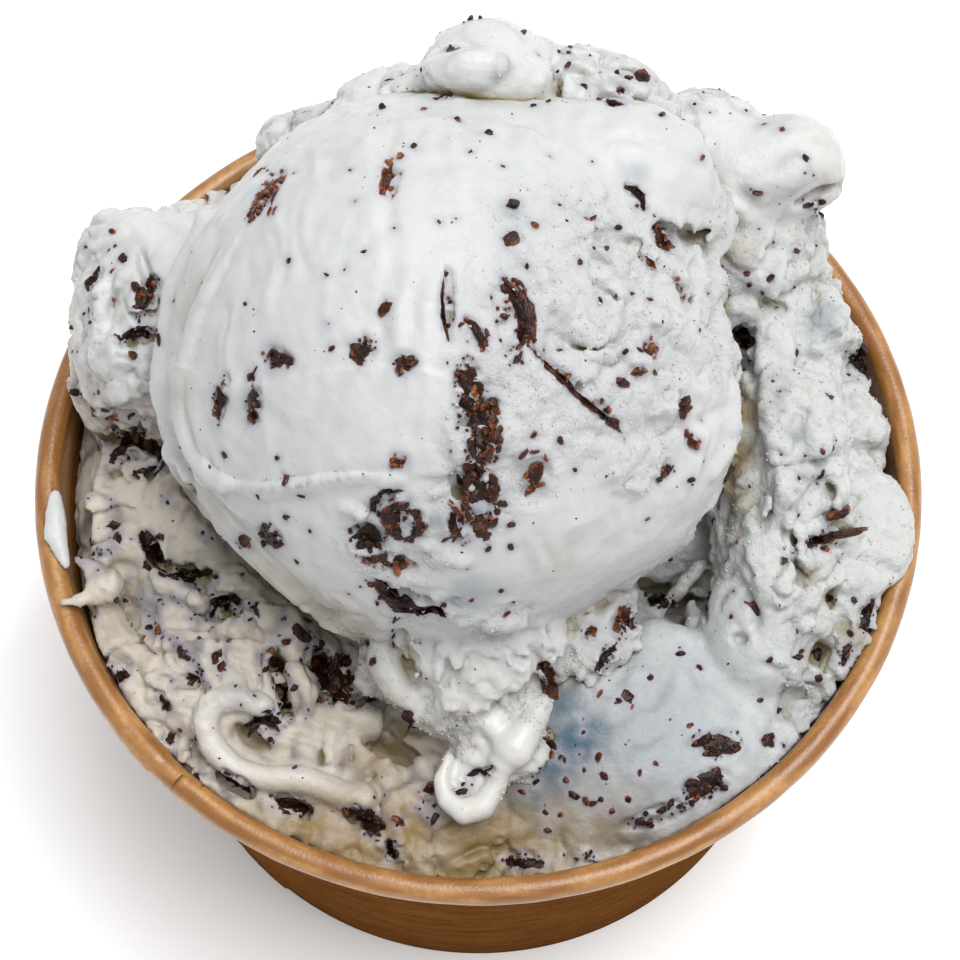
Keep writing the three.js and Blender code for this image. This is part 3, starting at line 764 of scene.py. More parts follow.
# Ridges (height above 0), grooves (below 0) and steps, as lines drawn through the pixels where
# they are seen: height, width, then the points. A step stands proud on its right-hand side.
RIDGES = [
    (-1.1, 1.2, (218, 238), (190, 296), (172, 352), (172, 395)),
    (-0.5, 1.6, (262, 250), (222, 320), (206, 375), (208, 420), (245, 465)),
    (-0.55, 0.75, (560, 430), (620, 438), (680, 428), (738, 402)),
    (-1.0, 0.35, (449, 268), (444, 300), (448, 338)),
    (-0.5, 0.6, (598, 150), (620, 137), (660, 148), (700, 165), (733, 192)),
    (-0.8, 0.4, (626, 188), (636, 194), (643, 207)),
    (-0.5, 0.6, (180, 452), (205, 486), (247, 532), (300, 588), (338, 618)),
    (0.45, 0.5, (176, 462), (203, 500), (243, 546), (290, 594), (320, 618)),
    (-0.5, 0.5, (168, 440), (192, 476), (235, 520), (280, 566)),
    (0.4, 0.6, (186, 452), (215, 488), (262, 530)),
    (-0.5, 0.6, (290, 600), (330, 612), (372, 618)),
    (0.5, 0.6, (296, 616), (340, 630), (380, 634)),
    (0.35, 0.8, (455, 235), (430, 300), (424, 370)),
    (-0.5, 0.5, (380, 600), (420, 612), (450, 606)),
    (-0.45, 0.4, (598, 645), (606, 660), (617, 676)),
    (0.7, 1.0, (384, 612), (380, 640), (388, 672), (408, 700)),
    (-0.9, 0.6, (402, 628), (406, 655), (418, 682)),
    (0.9, 1.1, (155, 578), (185, 592), (216, 617)),
    (-0.8, 0.4, (276, 657), (283, 690), (293, 723)),
    (0.8, 0.9, (290, 645), (300, 675), (317, 708)),
    (-1.0, 0.7, (145, 531), (157, 560), (181, 573), (212, 576)),
    (-0.9, 0.6, (205, 612), (228, 606), (250, 622)),
    (-0.8, 0.6, (116, 470), (122, 446), (142, 441), (160, 455)),
    (-0.8, 0.8, (739, 405), (752, 425), (745, 445), (722, 476)),
    (0.6, 1.0, (757, 320), (770, 420), (788, 520)),
    (-0.6, 0.7, (755, 240), (780, 252), (810, 240)),
    (-0.7, 0.5, (266, 728), (300, 738), (331, 745)),
    (0.6, 0.8, (200, 655), (180, 640), (160, 645)),
    (-0.5, 0.6, (820, 640), (800, 690), (770, 730)),
]
STEPS = [(0.8, 8.0, (401, 478), (350, 480), (303, 488), (278, 492), (242, 491), (212, 484),
          (190, 462))]


def nearest_on_line(points, line):
    """Distance of each point from a line of points, and which side of it the point is on."""
    best = np.full(len(points), np.inf)
    side = np.zeros(len(points))
    for a, b in zip(line, line[1:]):
        run = b - a
        part = np.clip((points - a) @ run / (run @ run), 0, 1)
        off = points - (a + part[:, None] * run)
        gap = np.linalg.norm(off, axis=1)
        outward = np.cross(run, a - SCOOP_AT)
        closer = gap < best
        best = np.where(closer, gap, best)
        side = np.where(closer, off @ outward / np.linalg.norm(outward), side)
    return best, side


def drawn(skin, tree, seen):
    """Points of a skin near a line drawn through pixels, and the line itself."""
    hits = [seen_on(tree, px, py)[0] for px, py in smooth_path(seen, 6 * len(seen))]
    line = np.array([hit for hit in hits if hit is not None])
    low, high = line.min(0) - 12, line.max(0) + 12
    near = np.nonzero(((skin.points > low) & (skin.points < high)).all(1))[0]
    return near, line


def from_ends(points, line):
    """Distance of each point from the nearer end of a line."""
    return np.minimum(*(np.linalg.norm(points - end, axis=1) for end in line[[0, -1]]))


def line_relief(skin, tree, other):
    """Ridges and grooves on one skin, where the other doesn't hide them."""
    relief = np.zeros(len(skin.points))
    wander = noise(skin.points, 2.2, 21)
    for height, width, *seen in RIDGES:
        middle = seen[len(seen) // 2]
        if seen_on(tree, *middle)[2] > seen_on(other, *middle)[2]:
            continue
        near, line = drawn(skin, tree, seen)
        gap, _ = nearest_on_line(skin.points[near], line)
        fade = 0.35 + 0.65 * ease(from_ends(skin.points[near], line), 0, 2.5)
        strength = (0.8 + 0.5 * wander[near]) * fade
        relief[near] += height * strength * bell(gap + 0.25 * wander[near], width)
    return relief


def step_relief(skin, tree):
    """Raises one side of each step, highest at the step itself."""
    relief = np.zeros(len(skin.points))
    for height, length, *seen in STEPS:
        near, line = drawn(skin, tree, seen)
        gap, side = nearest_on_line(skin.points[near], line)
        above = ease(side, -0.25, 0.25) * np.exp(-np.maximum(gap, 0) / length)
        fade = ease(from_ends(skin.points[near], line), 0, 4)
        relief[near] += height * above * fade * (gap < 11)
    return relief


def crease_net(points, size, seed):
    """Thin winding creases, open only here and there: 1 in a crease, 0 elsewhere."""
    open_here = ease(noise(points, 2.5 * size, seed + 1), -0.05, 0.35)
    return open_here * bell(noise(points, size, seed), 0.07)


def torn_share(points):
    """1 where the scoop's surface is torn and snow-like, 0 where the spoon has smoothed it."""
    chunk = ease(-points[:, 1], 18, 22) * ease(-points[:, 2], -68, -65)
    edge = 0.5 * noise(points, 6, 36)
    torn = np.maximum(spots(points, TORN), chunk) + edge * spots(points, TORN)
    return np.clip(torn, 0, 1) * (1 - spots(points, wet_places))


def marbling(points):
    """Streaks of cocoa drawn out through the ice cream, 0 to 1."""
    warped = points + 1.6 * np.column_stack([noise(points, 4.5, seed) for seed in (73, 74, 75)])
    return bell(noise(warped, 4.2, 76), 0.17) * ease(noise(points, 8, 77), -0.3, 0.2)


def scoop_finish(points):
    """Ripples that the spoon dragged over the dome, and flaky creases where the ball is torn."""
    rough = torn_share(points)
    swayed = points + 1.3 * noise(points, 6, 30)[:, None]
    ripples = 0.5 - np.abs(noise(swayed * (1, 0.3, 0.3), 4.2, 31))
    ripples += 0.4 * noise(swayed * (1, 0.4, 0.4), 1.6, 32)
    patches = 0.35 + 0.65 * ease(noise(points, 9, 29), -0.3, 0.3)
    dome = ease(points[:, 2], 76, 88) * (1 - rough) * patches
    flakes = 0.26 * np.abs(noise(points, 1.6, 33)) + 0.14 * np.abs(noise(points, 0.8, 34))
    creases = 0.35 * crease_net(points, 5, 35)
    dents = 0.3 * ease(noise(points, 3.5, 38), 0.25, 0.7)
    smooth = 0.16 * noise(points, 3.6, 37) + 0.06 * noise(points, 1.2, 39)
    return 0.7 * dome * ripples + rough * (0.2 - flakes - creases - dents) + smooth


def bed_finish(points):
    smooth = spots(points, SMOOTH_BED)
    fine = 0.14 * grains(points, 1.1, 41) + 0.14 * noise(points, 1.0, 42)
    creases = 0.7 * crease_net(points, 6, 43) + 0.35 * crease_net(points, 3, 45)
    return (1 - 0.85 * smooth) * (fine - creases) + 0.05 * noise(points, 2.2, 47)


trees = [scoop.tree(), bed.tree()]
scoop.torn = torn_share(scoop.points)
scoop.push(line_relief(scoop, *trees) + step_relief(scoop, trees[0]) + scoop_finish(scoop.points))
rough_side = ease(bed.points[:, 0], 12, 26)
bed.torn = 0.25 + 0.75 * rough_side * ease(-spots(bed.points, SMOOTH_BED), -0.6, -0.2)
above_sides = ease(bed.points[:, 2], 50, 54)
bed.push((line_relief(bed, *trees[::-1]) + bed_finish(bed.points)) * above_sides)

for skin in (scoop, bed):
    x, y, z = skin.points.T
    front_left = ease(-x - 0.7 * y, -8, 28)
    skin.warmth = np.clip(front_left * ease(-z, -74, -64) + 0.15 * noise(skin.points, 9, 72), 0, 1)
    skin.wet = spots(skin.points, wet_places)
low_left = ease(-scoop.points[:, 0], 4, 18) * ease(-scoop.points[:, 2], -72, -64)
scoop.marble = 0.6 * marbling(scoop.points) * low_left
bed.marble = marbling(bed.points) * (0.3 + 0.7 * bed.warmth) * (1 - bed.wet)


# ---- Chocolate -----------------------------------------------------------------------------------
# Pixel, length and width in millimetres, turn in the picture, bend, and tone from 0, nearly black,
# to 1, a thin reddish edge.
Shard = namedtuple("Shard", "px py length width turn bend tone")
SHARDS = [Shard(*row) for row in (
    (508, 318, 8.4, 2.0, 100, -1.5, 0.3), (474, 335, 3.4, 1.0, -62, 0.4, 0.4),
    (576, 389, 13.0, 0.8, -42, -0.4, 0.45), (411, 597, 7.8, 2.3, -27, -0.9, 0.05),
    (383, 500, 3.6, 0.9, 52, 0.7, 0.0), (460, 527, 4.2, 1.3, 95, 0.7, 0.3),
    (551, 668, 6.6, 1.5, 100, 0.4, 0.55), (447, 302, 6.4, 0.45, 88, 0.4, 0.2),
    (648, 260, 2.0, 0.6, -50, 0.1, 0.6), (684, 406, 2.6, 1.1, 85, 0.2, 0.35),
    (391, 178, 4.6, 1.3, 80, 0.3, 0.8), (635, 197, 2.6, 0.7, -50, 0.5, 0.1),
    (594, 217, 1.6, 0.6, 20, 0, 0.8), (606, 660, 3.8, 1.0, 60, 0.2, 0.05),
    (828, 542, 8.8, 1.3, 17, 0.5, 0.3), (152, 547, 3.6, 1.3, -65, 0, 0.0),
    (186, 572, 5.0, 1.4, -10, -0.4, 0.0), (228, 613, 5.2, 2.0, -18, 0.8, 0.0),
    (137, 452, 5.4, 1.3, 5, 1.0, 0.05), (284, 690, 6.6, 0.8, -76, 0.2, 0.1),
    (268, 724, 3.8, 1.0, 8, 0.5, 0.0), (462, 791, 1.7, 0.9, 14, 0, 0.1),
    (476, 775, 2.2, 0.5, 24, 0.3, 0.1), (487, 771, 1.9, 0.5, 20, 0, 0.2),
    (431, 790, 1.9, 1.6, 20, 0, 0.35), (545, 739, 2.6, 1.4, 110, 0.2, 0.2),
    (855, 357, 5.4, 2.6, -55, 0.3, 0.0), (94, 280, 2.8, 0.9, 62, 0.2, 0.1),
    (134, 344, 4.6, 1.0, 15, 0.9, 0.05), (170, 738, 1.4, 1.3, 40, 0, 0.45),
    (738, 336, 2.8, 1.4, -65, 0.2, 0.0), (811, 205, 1.5, 0.9, 30, 0, 0.1),
    (612, 103, 1.8, 1.1, -20, 0, 0.15), (452, 96, 3.6, 0.6, 4, 0.2, 0.05),
    (238, 783, 4.0, 1.5, -35, 0.3, 0.0), (294, 802, 4.0, 1.4, -15, 0.2, 0.05),
    (367, 820, 4.4, 1.6, -22, 0.2, 0.0), (392, 850, 2.2, 1.2, -50, 0, 0.0),
    (326, 668, 3.2, 1.5, 85, 0.2, 0.0), (700, 742, 2.0, 1.2, 30, 0, 0.05),
)]
# Broken chips lying close together: pixel, length, width, turn, tone.
Cluster = namedtuple("Cluster", "px py length width turn tone")
CLUSTERS = [Cluster(*row) for row in (
    (477, 412, 9.6, 3.6, 100, 0.3), (478, 493, 8.0, 3.0, 96, 0.25), (405, 520, 4.2, 3.8, 0, 0.25),
    (368, 538, 3.8, 2.8, 0, 0.0), (386, 561, 5.4, 1.9, -12, 0.6), (533, 480, 3.4, 1.7, 75, 0.75),
    (262, 195, 6.2, 3.4, 55, 0.7), (666, 236, 4.2, 2.2, -5, 0.55), (652, 348, 2.4, 1.6, 80, 0.8),
    (363, 349, 2.8, 2.2, 60, 0.35), (404, 364, 2.2, 1.8, 80, 0.35), (277, 358, 3.8, 1.7, -15, 0.2),
    (217, 400, 5.2, 2.0, 80, 0.2), (252, 405, 3.6, 1.8, 80, 0.3), (245, 543, 2.3, 1.8, 0, 0.7),
    (270, 537, 3.8, 2.6, 50, 0.1), (398, 462, 2.0, 1.7, 0, 0.7), (624, 622, 3.6, 2.4, 60, 0.55),
    (590, 631, 2.1, 1.2, 20, 0.7), (722, 746, 4.4, 2.4, 20, 0.15), (706, 785, 5.0, 2.6, 20, 0.15),
    (660, 815, 8.4, 1.7, 20, 0.1), (522, 861, 4.6, 1.6, 0, 0.15), (580, 857, 4.2, 1.2, 5, 0.15),
    (338, 678, 5.8, 3.2, 80, 0.25), (407, 720, 4.2, 2.0, 80, 0.1), (365, 817, 4.2, 2.2, -30, 0.05),
    (392, 848, 2.2, 1.7, 30, 0.05), (121, 675, 2.0, 1.8, 40, 0.1), (163, 702, 2.4, 1.4, -50, 0.1),
    (194, 677, 2.0, 1.3, 60, 0.1), (146, 295, 5.2, 2.2, 75, 0.25), (124, 434, 5.2, 1.6, 0, 0.05),
    (664, 600, 3.0, 1.8, -25, 0.0), (708, 600, 1.8, 1.0, 80, 0.1), (326, 670, 2.6, 1.6, 90, 0.1),
    (350, 700, 5.6, 1.0, 2, 0.15), (740, 338, 2.2, 1.2, -70, 0.0), (231, 602, 4.2, 1.0, -5, 0.0),
    (238, 784, 3.0, 0.9, -30, 0.1), (294, 801, 3.0, 0.9, -15, 0.15), (452, 49, 2.2, 1.0, -20, 0.1),
    (693, 443, 3.0, 1.2, -50, 0.6), (668, 470, 2.4, 1.4, 50, 0.3), (845, 655, 2.2, 1.4, 70, 0.2),
    (866, 620, 3.6, 1.4, 70, 0.05), (770, 738, 2.4, 1.6, 20, 0.3), (640, 372, 1.8, 1.2, 20, 0.8),
    (676, 280, 7.0, 0.8, -56, 0.7), (615, 424, 2.4, 1.0, -30, 0.1),
)]
# Single small chips: pixel and size.
DOTS = [
    (533, 106, 0.9), (549, 101, 0.8), (457, 119, 1.2), (488, 133, 1.3), (424, 109, 0.9),
    (413, 147, 1.0), (527, 266, 0.8), (535, 225, 0.9), (618, 227, 1.0), (470, 152, 0.7),
    (350, 170, 0.8), (503, 166, 0.7), (560, 205, 0.8), (580, 262, 0.9), (600, 300, 0.8),
    (650, 300, 0.8), (560, 350, 0.7), (700, 330, 0.8), (640, 350, 1.2), (655, 372, 1.0),
    (625, 352, 0.9), (560, 440, 1.0), (575, 470, 0.8), (690, 480, 1.1), (386, 308, 1.9),
    (289, 261, 0.9), (327, 275, 0.8), (364, 252, 0.7), (332, 348, 1.0), (250, 378, 1.2),
    (224, 455, 1.2), (277, 458, 0.9), (285, 480, 1.4), (258, 497, 0.8), (302, 496, 1.0),
    (286, 517, 1.2), (310, 531, 0.8), (297, 562, 0.8), (513, 206, 2.0), (512, 236, 2.1),
    (607, 247, 1.3), (594, 248, 0.7), (621, 382, 1.5), (632, 294, 0.8), (534, 340, 0.9),
    (503, 503, 1.0), (511, 524, 0.9), (534, 435, 0.9), (501, 591, 0.9), (513, 602, 0.8),
    (506, 614, 1.1), (472, 600, 0.8), (510, 547, 1.3), (377, 603, 0.7), (373, 661, 1.5),
    (598, 757, 1.3), (630, 697, 1.8), (618, 700, 0.9), (650, 677, 1.1), (217, 656, 1.5),
    (133, 355, 1.3), (112, 232, 1.0), (115, 246, 0.8), (661, 115, 1.4), (585, 86, 1.0), (621, 90, 1.0),
    (703, 158, 1.0), (782, 129, 1.0), (806, 158, 1.2), (746, 273, 1.0), (771, 277, 1.1),
    (850, 632, 1.0), (855, 600, 1.1), (830, 397, 1.0), (818, 653, 1.5), (830, 598, 1.4),
    (575, 796, 1.3), (592, 803, 1.1), (560, 815, 0.9), (604, 776, 1.2), (522, 792, 0.9),
    (536, 782, 1.0), (640, 772, 1.0), (656, 764, 0.9), (548, 830, 1.2), (612, 812, 1.4),
    (628, 800, 1.1), (700, 668, 0.9), (760, 700, 0.9), (770, 660, 1.0), (584, 770, 0.8),
    (566, 780, 1.0), (690, 725, 0.9), (600, 800, 0.9), (586, 801, 1.3), (545, 812, 0.8),
    (670, 560, 0.8),
]
DOT_TURN = 47  # degrees added from one small chip to the next
# Broken rims of thin plates: middle's pixel, radii, first and last angle, chips' width and tone.
Rim = namedtuple("Rim", "px py across up start end width tone")
RIMS = [Rim(*row) for row in (
    (481, 497, 1.7, 3.9, 130, 410, 0.9, 0.45), (404, 521, 1.9, 1.8, 100, 350, 0.9, 0.3),
    (440, 520, 2.4, 2.3, -70, 60, 0.5, 0.6), (400, 512, 2.6, 2.6, 100, 190, 0.5, 0.0),
    (477, 428, 2.4, 3.4, -60, 60, 0.8, 0.6), (512, 318, 1.6, 4.2, -80, 80, 0.7, 0.4),
    (512, 330, 2.8, 2.0, 190, 250, 0.6, 0.5), (535, 462, 1.4, 1.2, 20, 170, 0.5, 0.75),
    (140, 458, 2.3, 1.6, -100, 50, 0.7, 0.0), (232, 618, 2.4, 1.7, 20, 170, 0.8, 0.0),
    (145, 340, 1.6, 0.7, 10, 170, 0.5, 0.05), (180, 560, 3.6, 1.9, 190, 330, 0.7, 0.0),
    (262, 730, 1.4, 1.0, 20, 160, 0.5, 0.0), (405, 640, 1.4, 2.6, 120, 200, 0.3, 0.2),
    (262, 195, 1.4, 2.6, -50, 130, 0.5, 0.7), (268, 374, 1.6, 1.3, 60, 200, 0.5, 0.15),
)]
# Drops of ice cream that stand up among the chips: pixel, radius and height.
DROPS = [
    (480, 511, 1.25, 0.7), (407, 521, 1.1, 0.5), (439, 519, 0.8, 0.4), (489, 397, 0.7, 0.6),
    (466, 430, 0.7, 0.5), (473, 396, 0.5, 0.5), (242, 607, 1.7, 0.6), (470, 441, 0.5, 0.5),
    (487, 479, 0.5, 0.5), (262, 190, 0.8, 0.5), (225, 392, 0.6, 0.4), (390, 560, 0.5, 0.4),
    (805, 572, 1.3, 0.5), (345, 670, 0.9, 0.4),
]
# Places where melted cocoa has tinted the ice cream bluish grey, and big soft spots on the front mound
# that are painted shadow under the ball: pixel, radius and strength.
TINTED = [
    (473, 596, 2.8, 0.45), (650, 730, 13.0, 0.5), (577, 742, 4.8, 1.0), (562, 705, 3.4, 0.9),
    (556, 768, 4.0, 0.9), (530, 790, 3.0, 0.6), (277, 358, 1.6, 0.4), (217, 400, 1.8, 0.4),
    (252, 405, 1.8, 0.45), (363, 349, 1.2, 0.4), (404, 364, 1.2, 0.45), (270, 537, 2.4, 0.45),
    (245, 543, 1.4, 0.3), (262, 200, 2.0, 0.3), (200, 590, 2.2, 0.4), (120, 455, 2.2, 0.35),
    (150, 600, 2.2, 0.35), (240, 690, 2.0, 0.3), (617, 104, 1.7, 0.4), (635, 173, 1.3, 0.35),
    (820, 322, 2.2, 0.45), (797, 436, 1.0, 0.5), (817, 465, 0.9, 0.5), (480, 511, 1.5, 0.55),
    (407, 521, 1.5, 0.6), (439, 519, 1.0, 0.5), (240, 610, 2.2, 0.5), (486, 396, 1.2, 0.5),
    (600, 750, 8.0, 0.55), (690, 700, 8.0, 0.35), (650, 640, 5.0, 0.3), (640, 790, 7.0, 0.3),
    (760, 640, 5.0, 0.15), (620, 690, 5.0, 0.35), (380, 533, 1.2, 0.4), (512, 212, 1.1, 0.3),
]
# Places where the ice cream has melted to a yellowish brown cream, many of them in crevices and under
# the chunk, where the brown is also painted shade: pixel, radius and strength.
MELTED = [
    (215, 505, 2.4, 0.3), (250, 545, 2.6, 0.35), (290, 585, 2.8, 0.4), (328, 612, 2.8, 0.45),
    (358, 628, 2.4, 0.4), (735, 500, 2.6, 0.7), (672, 598, 1.4, 0.7), (400, 750, 4.0, 0.8),
    (372, 765, 3.0, 0.6), (445, 842, 4.0, 0.8), (500, 832, 5.0, 0.8), (330, 825, 4.0, 0.55),
    (560, 842, 4.0, 0.8), (610, 832, 3.5, 0.8), (470, 838, 6.0, 0.7), (420, 820, 4.0, 0.5),
    (530, 812, 3.0, 0.5), (385, 800, 3.0, 0.6), (285, 800, 3.0, 0.5), (855, 640, 2.5, 0.6),
    (252, 735, 2.4, 0.9), (735, 455, 2.6, 0.9), (742, 415, 2.2, 0.9), (732, 480, 2.2, 0.8),
    (805, 572, 1.4, 0.7), (130, 432, 2.4, 0.6), (330, 700, 2.6, 0.6), (690, 600, 2.6, 0.7),
    (300, 600, 3.0, 0.4), (270, 575, 2.6, 0.4), (690, 232, 2.0, 0.6), (410, 652, 1.2, 0.6),
    (118, 620, 3.2, 0.35), (175, 395, 2.6, 0.25), (190, 300, 2.4, 0.25), (820, 190, 2.0, 0.4),
    (340, 610, 2.4, 0.4), (730, 250, 2.4, 0.4), (150, 300, 1.6, 0.4), (560, 560, 3.0, 0.15),
]


def icosphere(level):
    """Points and three-sided faces of a ball of radius 1."""
    ball = bmesh.new()
    bmesh.ops.create_icosphere(ball, subdivisions=level, radius=1)
    points = np.array([v.co[:] for v in ball.verts])
    faces = np.array([[v.index for v in f.verts] for f in ball.faces])
    ball.free()
    return points, faces


BALLS = {level: icosphere(level) for level in (1, 2, 3, 4)}
FINE_FROM = (0.9, 2, 5)  # lengths in millimetres from which a chip gets a finer ball
CUTS = 14  # flat breaks on each chip


def chip(size, draws, bend=0, jagged=0.42):
    """A broken chip round its middle, long side along x: its points and faces, and 1 at its edge."""
    points, faces = BALLS[1 + sum(max(size[:2]) >= length for length in FINE_FROM)]
    for _ in range(CUTS):
        way = draws.normal(size=3)
        way /= np.linalg.norm(way)
        depth = 0.5 + 0.45 * draws.random()
        points = points * (depth / np.maximum(points @ way, depth))[:, None]
    edge = ease(np.hypot(points[:, 0], points[:, 1]), 0.45, 0.85)
    waves = points * np.array(size) / 2 + draws.random(3) * 40
    torn_edge = noise(waves, 1.2, 51) + 0.8 * noise(waves, 0.5, 52)
    torn_edge -= 0.5 * np.abs(noise(waves, 0.8, 54))
    points = points * np.array(size) / 1.7
    reach = np.maximum(np.linalg.norm(points, axis=1), 1e-6)
    allowed = np.minimum(0.8 * min(size[:2]) / reach, 1)
    points = points * (1 + jagged * torn_edge * allowed)[:, None]
    points[:, 1] += bend * (1 - (2 * points[:, 0] / size[0]) ** 2)
    return points, faces, edge


def bearings(normal, turn):
    """Directions on the surface that look turned by an angle in the picture, and across it."""
    angle = math.radians(turn)
    level = math.cos(angle) * np.array((1, 0, 0)) + math.sin(angle) * UPWARD
    depth = min(FORWARD @ normal, -0.35)
    along = level - FORWARD * (level @ normal) / depth
    along -= normal * (along @ normal)
    along /= np.linalg.norm(along)
    return along, np.cross(normal, along)


class Chocolate:
    """Chips collected for one mesh."""

    def __init__(self):
        self.points, self.faces, self.tones = [], [], []
        self.count = 0

    def add(self, points, faces, edge, tone):
        """Takes in a chip, nearly black where its tone is 0, redder at its edge."""
        self.points.append(points)
        self.faces.append(faces + self.count)
        patchy = tone * 0.5 * noise(points, 0.6, 53)
        self.tones.append(np.clip(0.45 * tone + (0.2 + 0.5 * tone) * edge + patchy, 0, 1))
        self.count += len(points)


def mean_normal(tree, px, py, reach=7):
    """The way a surface faces round a pixel, without its fine relief."""
    steps = (-reach, 0, reach)
    around = [seen_on(tree, px + dx, py + dy)[1] for dx in steps for dy in steps]
    total = sum(normal for normal in around if normal is not None)
    return total / np.linalg.norm(total)


# Where a chip lies: 0 on the scoop or 1 on the bed, its middle, and the surface's directions.
Site = namedtuple("Site", "number place normal along across")


def which_skin(px, py, trees):
    """The skin seen at a pixel, its point there, and the way it faces."""
    hits = [seen_on(tree, px, py) for tree in trees]
    nearer = 0 if hits[0][2] <= hits[1][2] else 1
    if hits[nearer][0] is None:
        return None
    return nearer, hits[nearer][0], mean_normal(trees[nearer], px, py)


def site(px, py, turn, trees):
    found = which_skin(px, py, trees)
    return found and Site(*found, *bearings(found[2], turn))


def tumbled(normal, flatness, draws):
    """Random axes for a chip, the third of them mostly along the normal."""
    return np.linalg.qr(draws.normal(size=(3, 3)) + flatness * np.outer((0, 0, 1), normal))[0]


def dropped(tree, over, normal):
    """The point of a surface straight below a point, or None."""
    hit = tree.ray_cast(Vector(over + normal * 2.5), Vector(-normal), 5)[0]
    return None if hit is None else np.array(hit)


def drape(tree, spot, points, sink):
    """Lays points on the surface, keeping each point's height above it."""
    result = np.empty_like(points)
    for i, (x, y, z) in enumerate(points):
        over = spot.place + spot.along * x + spot.across * y
        base = dropped(tree, over, spot.normal)
        result[i] = (over if base is None else base) + spot.normal * (z - sink)
    return result


def scatter(tree, spot, cluster, density):
    """Crumbs strewn over an ellipse on the surface, thickest in its middle."""
    area = math.pi * cluster.length * cluster.width / 4
    for _ in range(max(int(area * density), 3)):
        angle, reach = draws.random() * 2 * math.pi, 1.15 * draws.random() ** 0.6
        x = reach * math.cos(angle) * cluster.length / 2
        y = reach * math.sin(angle) * cluster.width / 2
        size = min(0.22 + 0.3 * draws.exponential(), 1.5, 0.7 * cluster.width)
        base = dropped(tree, spot.place + spot.along * x + spot.across * y, spot.normal)
        if base is None:
            continue
        shape = (size, size * (0.5 + 0.4 * draws.random()), 0.15 + 0.5 * size)
        points, faces, edge = chip(shape, draws)
        axes = tumbled(spot.normal, 1.5, draws)
        lift = 0.15 * (draws.random() - 0.4)
        rusty = draws.random() < 0.25 + 0.6 * cluster.tone
        tone = cluster.tone + (0.55 * draws.random() if rusty else 0)
        laid = points @ axes + base + spot.normal * lift
        chocolates[spot.number].add(laid, faces, edge, tone)


DEEPEST = 0.42  # of the hollows in which chips lie


def recess(skin, trees, number):
    """Hollows in the ice cream where chips lie, with its bumps showing between the crumbs."""
    relief = np.zeros(len(skin.points))
    for each in CLUSTERS + SHARDS:
        spot = site(each.px, each.py, each.turn, trees)
        if spot is None or spot.number != number:
            continue
        off = skin.points - spot.place
        near = np.nonzero((np.abs(off) < each.length / 2 + 1.5).all(1))[0]
        x, y = off[near] @ spot.along, off[near] @ spot.across
        reach = np.hypot(x / (each.length / 2 + 0.3), y / (each.width / 2 + 0.3))
        depth = DEEPEST if isinstance(each, Shard) else min(0.06 * each.length, DEEPEST)
        lumpy = 2.0 * depth * noise(skin.points[near], 1.0, 61) - depth
        relief[near] += lumpy * ease(-reach, -1.15, -0.8) * (relief[near] == 0)
    for px, py, radius, height in DROPS:
        found = which_skin(px, py, trees)
        if found and found[0] == number:
            away = np.linalg.norm(skin.points - found[1], axis=1)
            relief += height * np.sqrt(np.maximum(1 - (away / radius) ** 2, 0))
    return relief


base_trees = [scoop.tree(), bed.tree()]
scoop.push(recess(scoop, base_trees, 0))
bed.push(recess(bed, base_trees, 1))
trees = [scoop.tree(), bed.tree()]

draws = np.random.default_rng(2024)
chocolates = [Chocolate(), Chocolate()]


def lay_shards():
    for each in SHARDS:
        spot = site(each.px, each.py, each.turn, trees)
        if spot:
            points, faces, edge = chip((each.length, each.width, 1.0), draws, each.bend)
            laid = drape(trees[spot.number], spot, points, 0.1)
            chocolates[spot.number].add(laid, faces, edge, each.tone)
            crumbs = Cluster(*each[:2], each.length + 0.8, each.width + 0.8, each.turn, each.tone + 0.2)
            scatter(trees[spot.number], spot, crumbs, 1.2)


def lay_clusters():
    """A thin base plate under each compact cluster, and crumbs over it."""
    for each in CLUSTERS:
        spot = site(each.px, each.py, each.turn, base_trees)
        if spot:
            tree = base_trees[spot.number]
            if each.length < 3 * each.width:
                thick = min(0.3 + 0.05 * each.length, 0.7)
                size = (0.95 * each.length, 0.95 * each.width, thick)
                points, faces, edge = chip(size, draws, 0, 0.5)
                laid = drape(tree, spot, points, 0.4 * thick)
                chocolates[spot.number].add(laid, faces, edge, 0.7 * each.tone)
            scatter(tree, spot, each, 3.2)


def lay_rims():
    """Short chips set along arcs, with some of them missing."""
    for each in RIMS:
        step = math.degrees(0.75 / max(each.across, each.up))
        for turn in np.radians(np.arange(each.start, each.end, step)):
            reach = PIXELS_PER_MM * (0.8 + 0.35 * draws.random())
            px = each.px + reach * each.across * math.cos(turn)
            py = each.py - reach * each.up * math.sin(turn)
            found = which_skin(px, py, base_trees)
            if found is None or draws.random() < 0.2:
                continue
            number, place, normal = found
            run = math.degrees(math.atan2(each.up * math.cos(turn), -each.across * math.sin(turn)))
            along, across = bearings(normal, run + 12 * draws.normal())
            size = (1.3 + 0.4 * draws.random(), each.width * (0.7 + 0.6 * draws.random()), 0.55)
            points, faces, edge = chip(size, draws, 0, 0.5)
            laid = points @ np.array((along, across, normal)) + place - 0.08 * normal
            chocolates[number].add(laid, faces, edge, each.tone * (0.7 + 0.6 * draws.random()))


def lay_dots():
    for index, (px, py, size) in enumerate(DOTS):
        spot = site(px, py, DOT_TURN * index, trees)
        if spot:
            points, faces, edge = chip((size, 0.7 * size, 0.5 * size + 0.2), draws)
            laid = drape(trees[spot.number], spot, points, 0.05)
            chocolates[spot.number].add(laid, faces, edge, 0.15 + 0.6 * draws.random())


lay_shards()
lay_clusters()
lay_rims()
lay_dots()


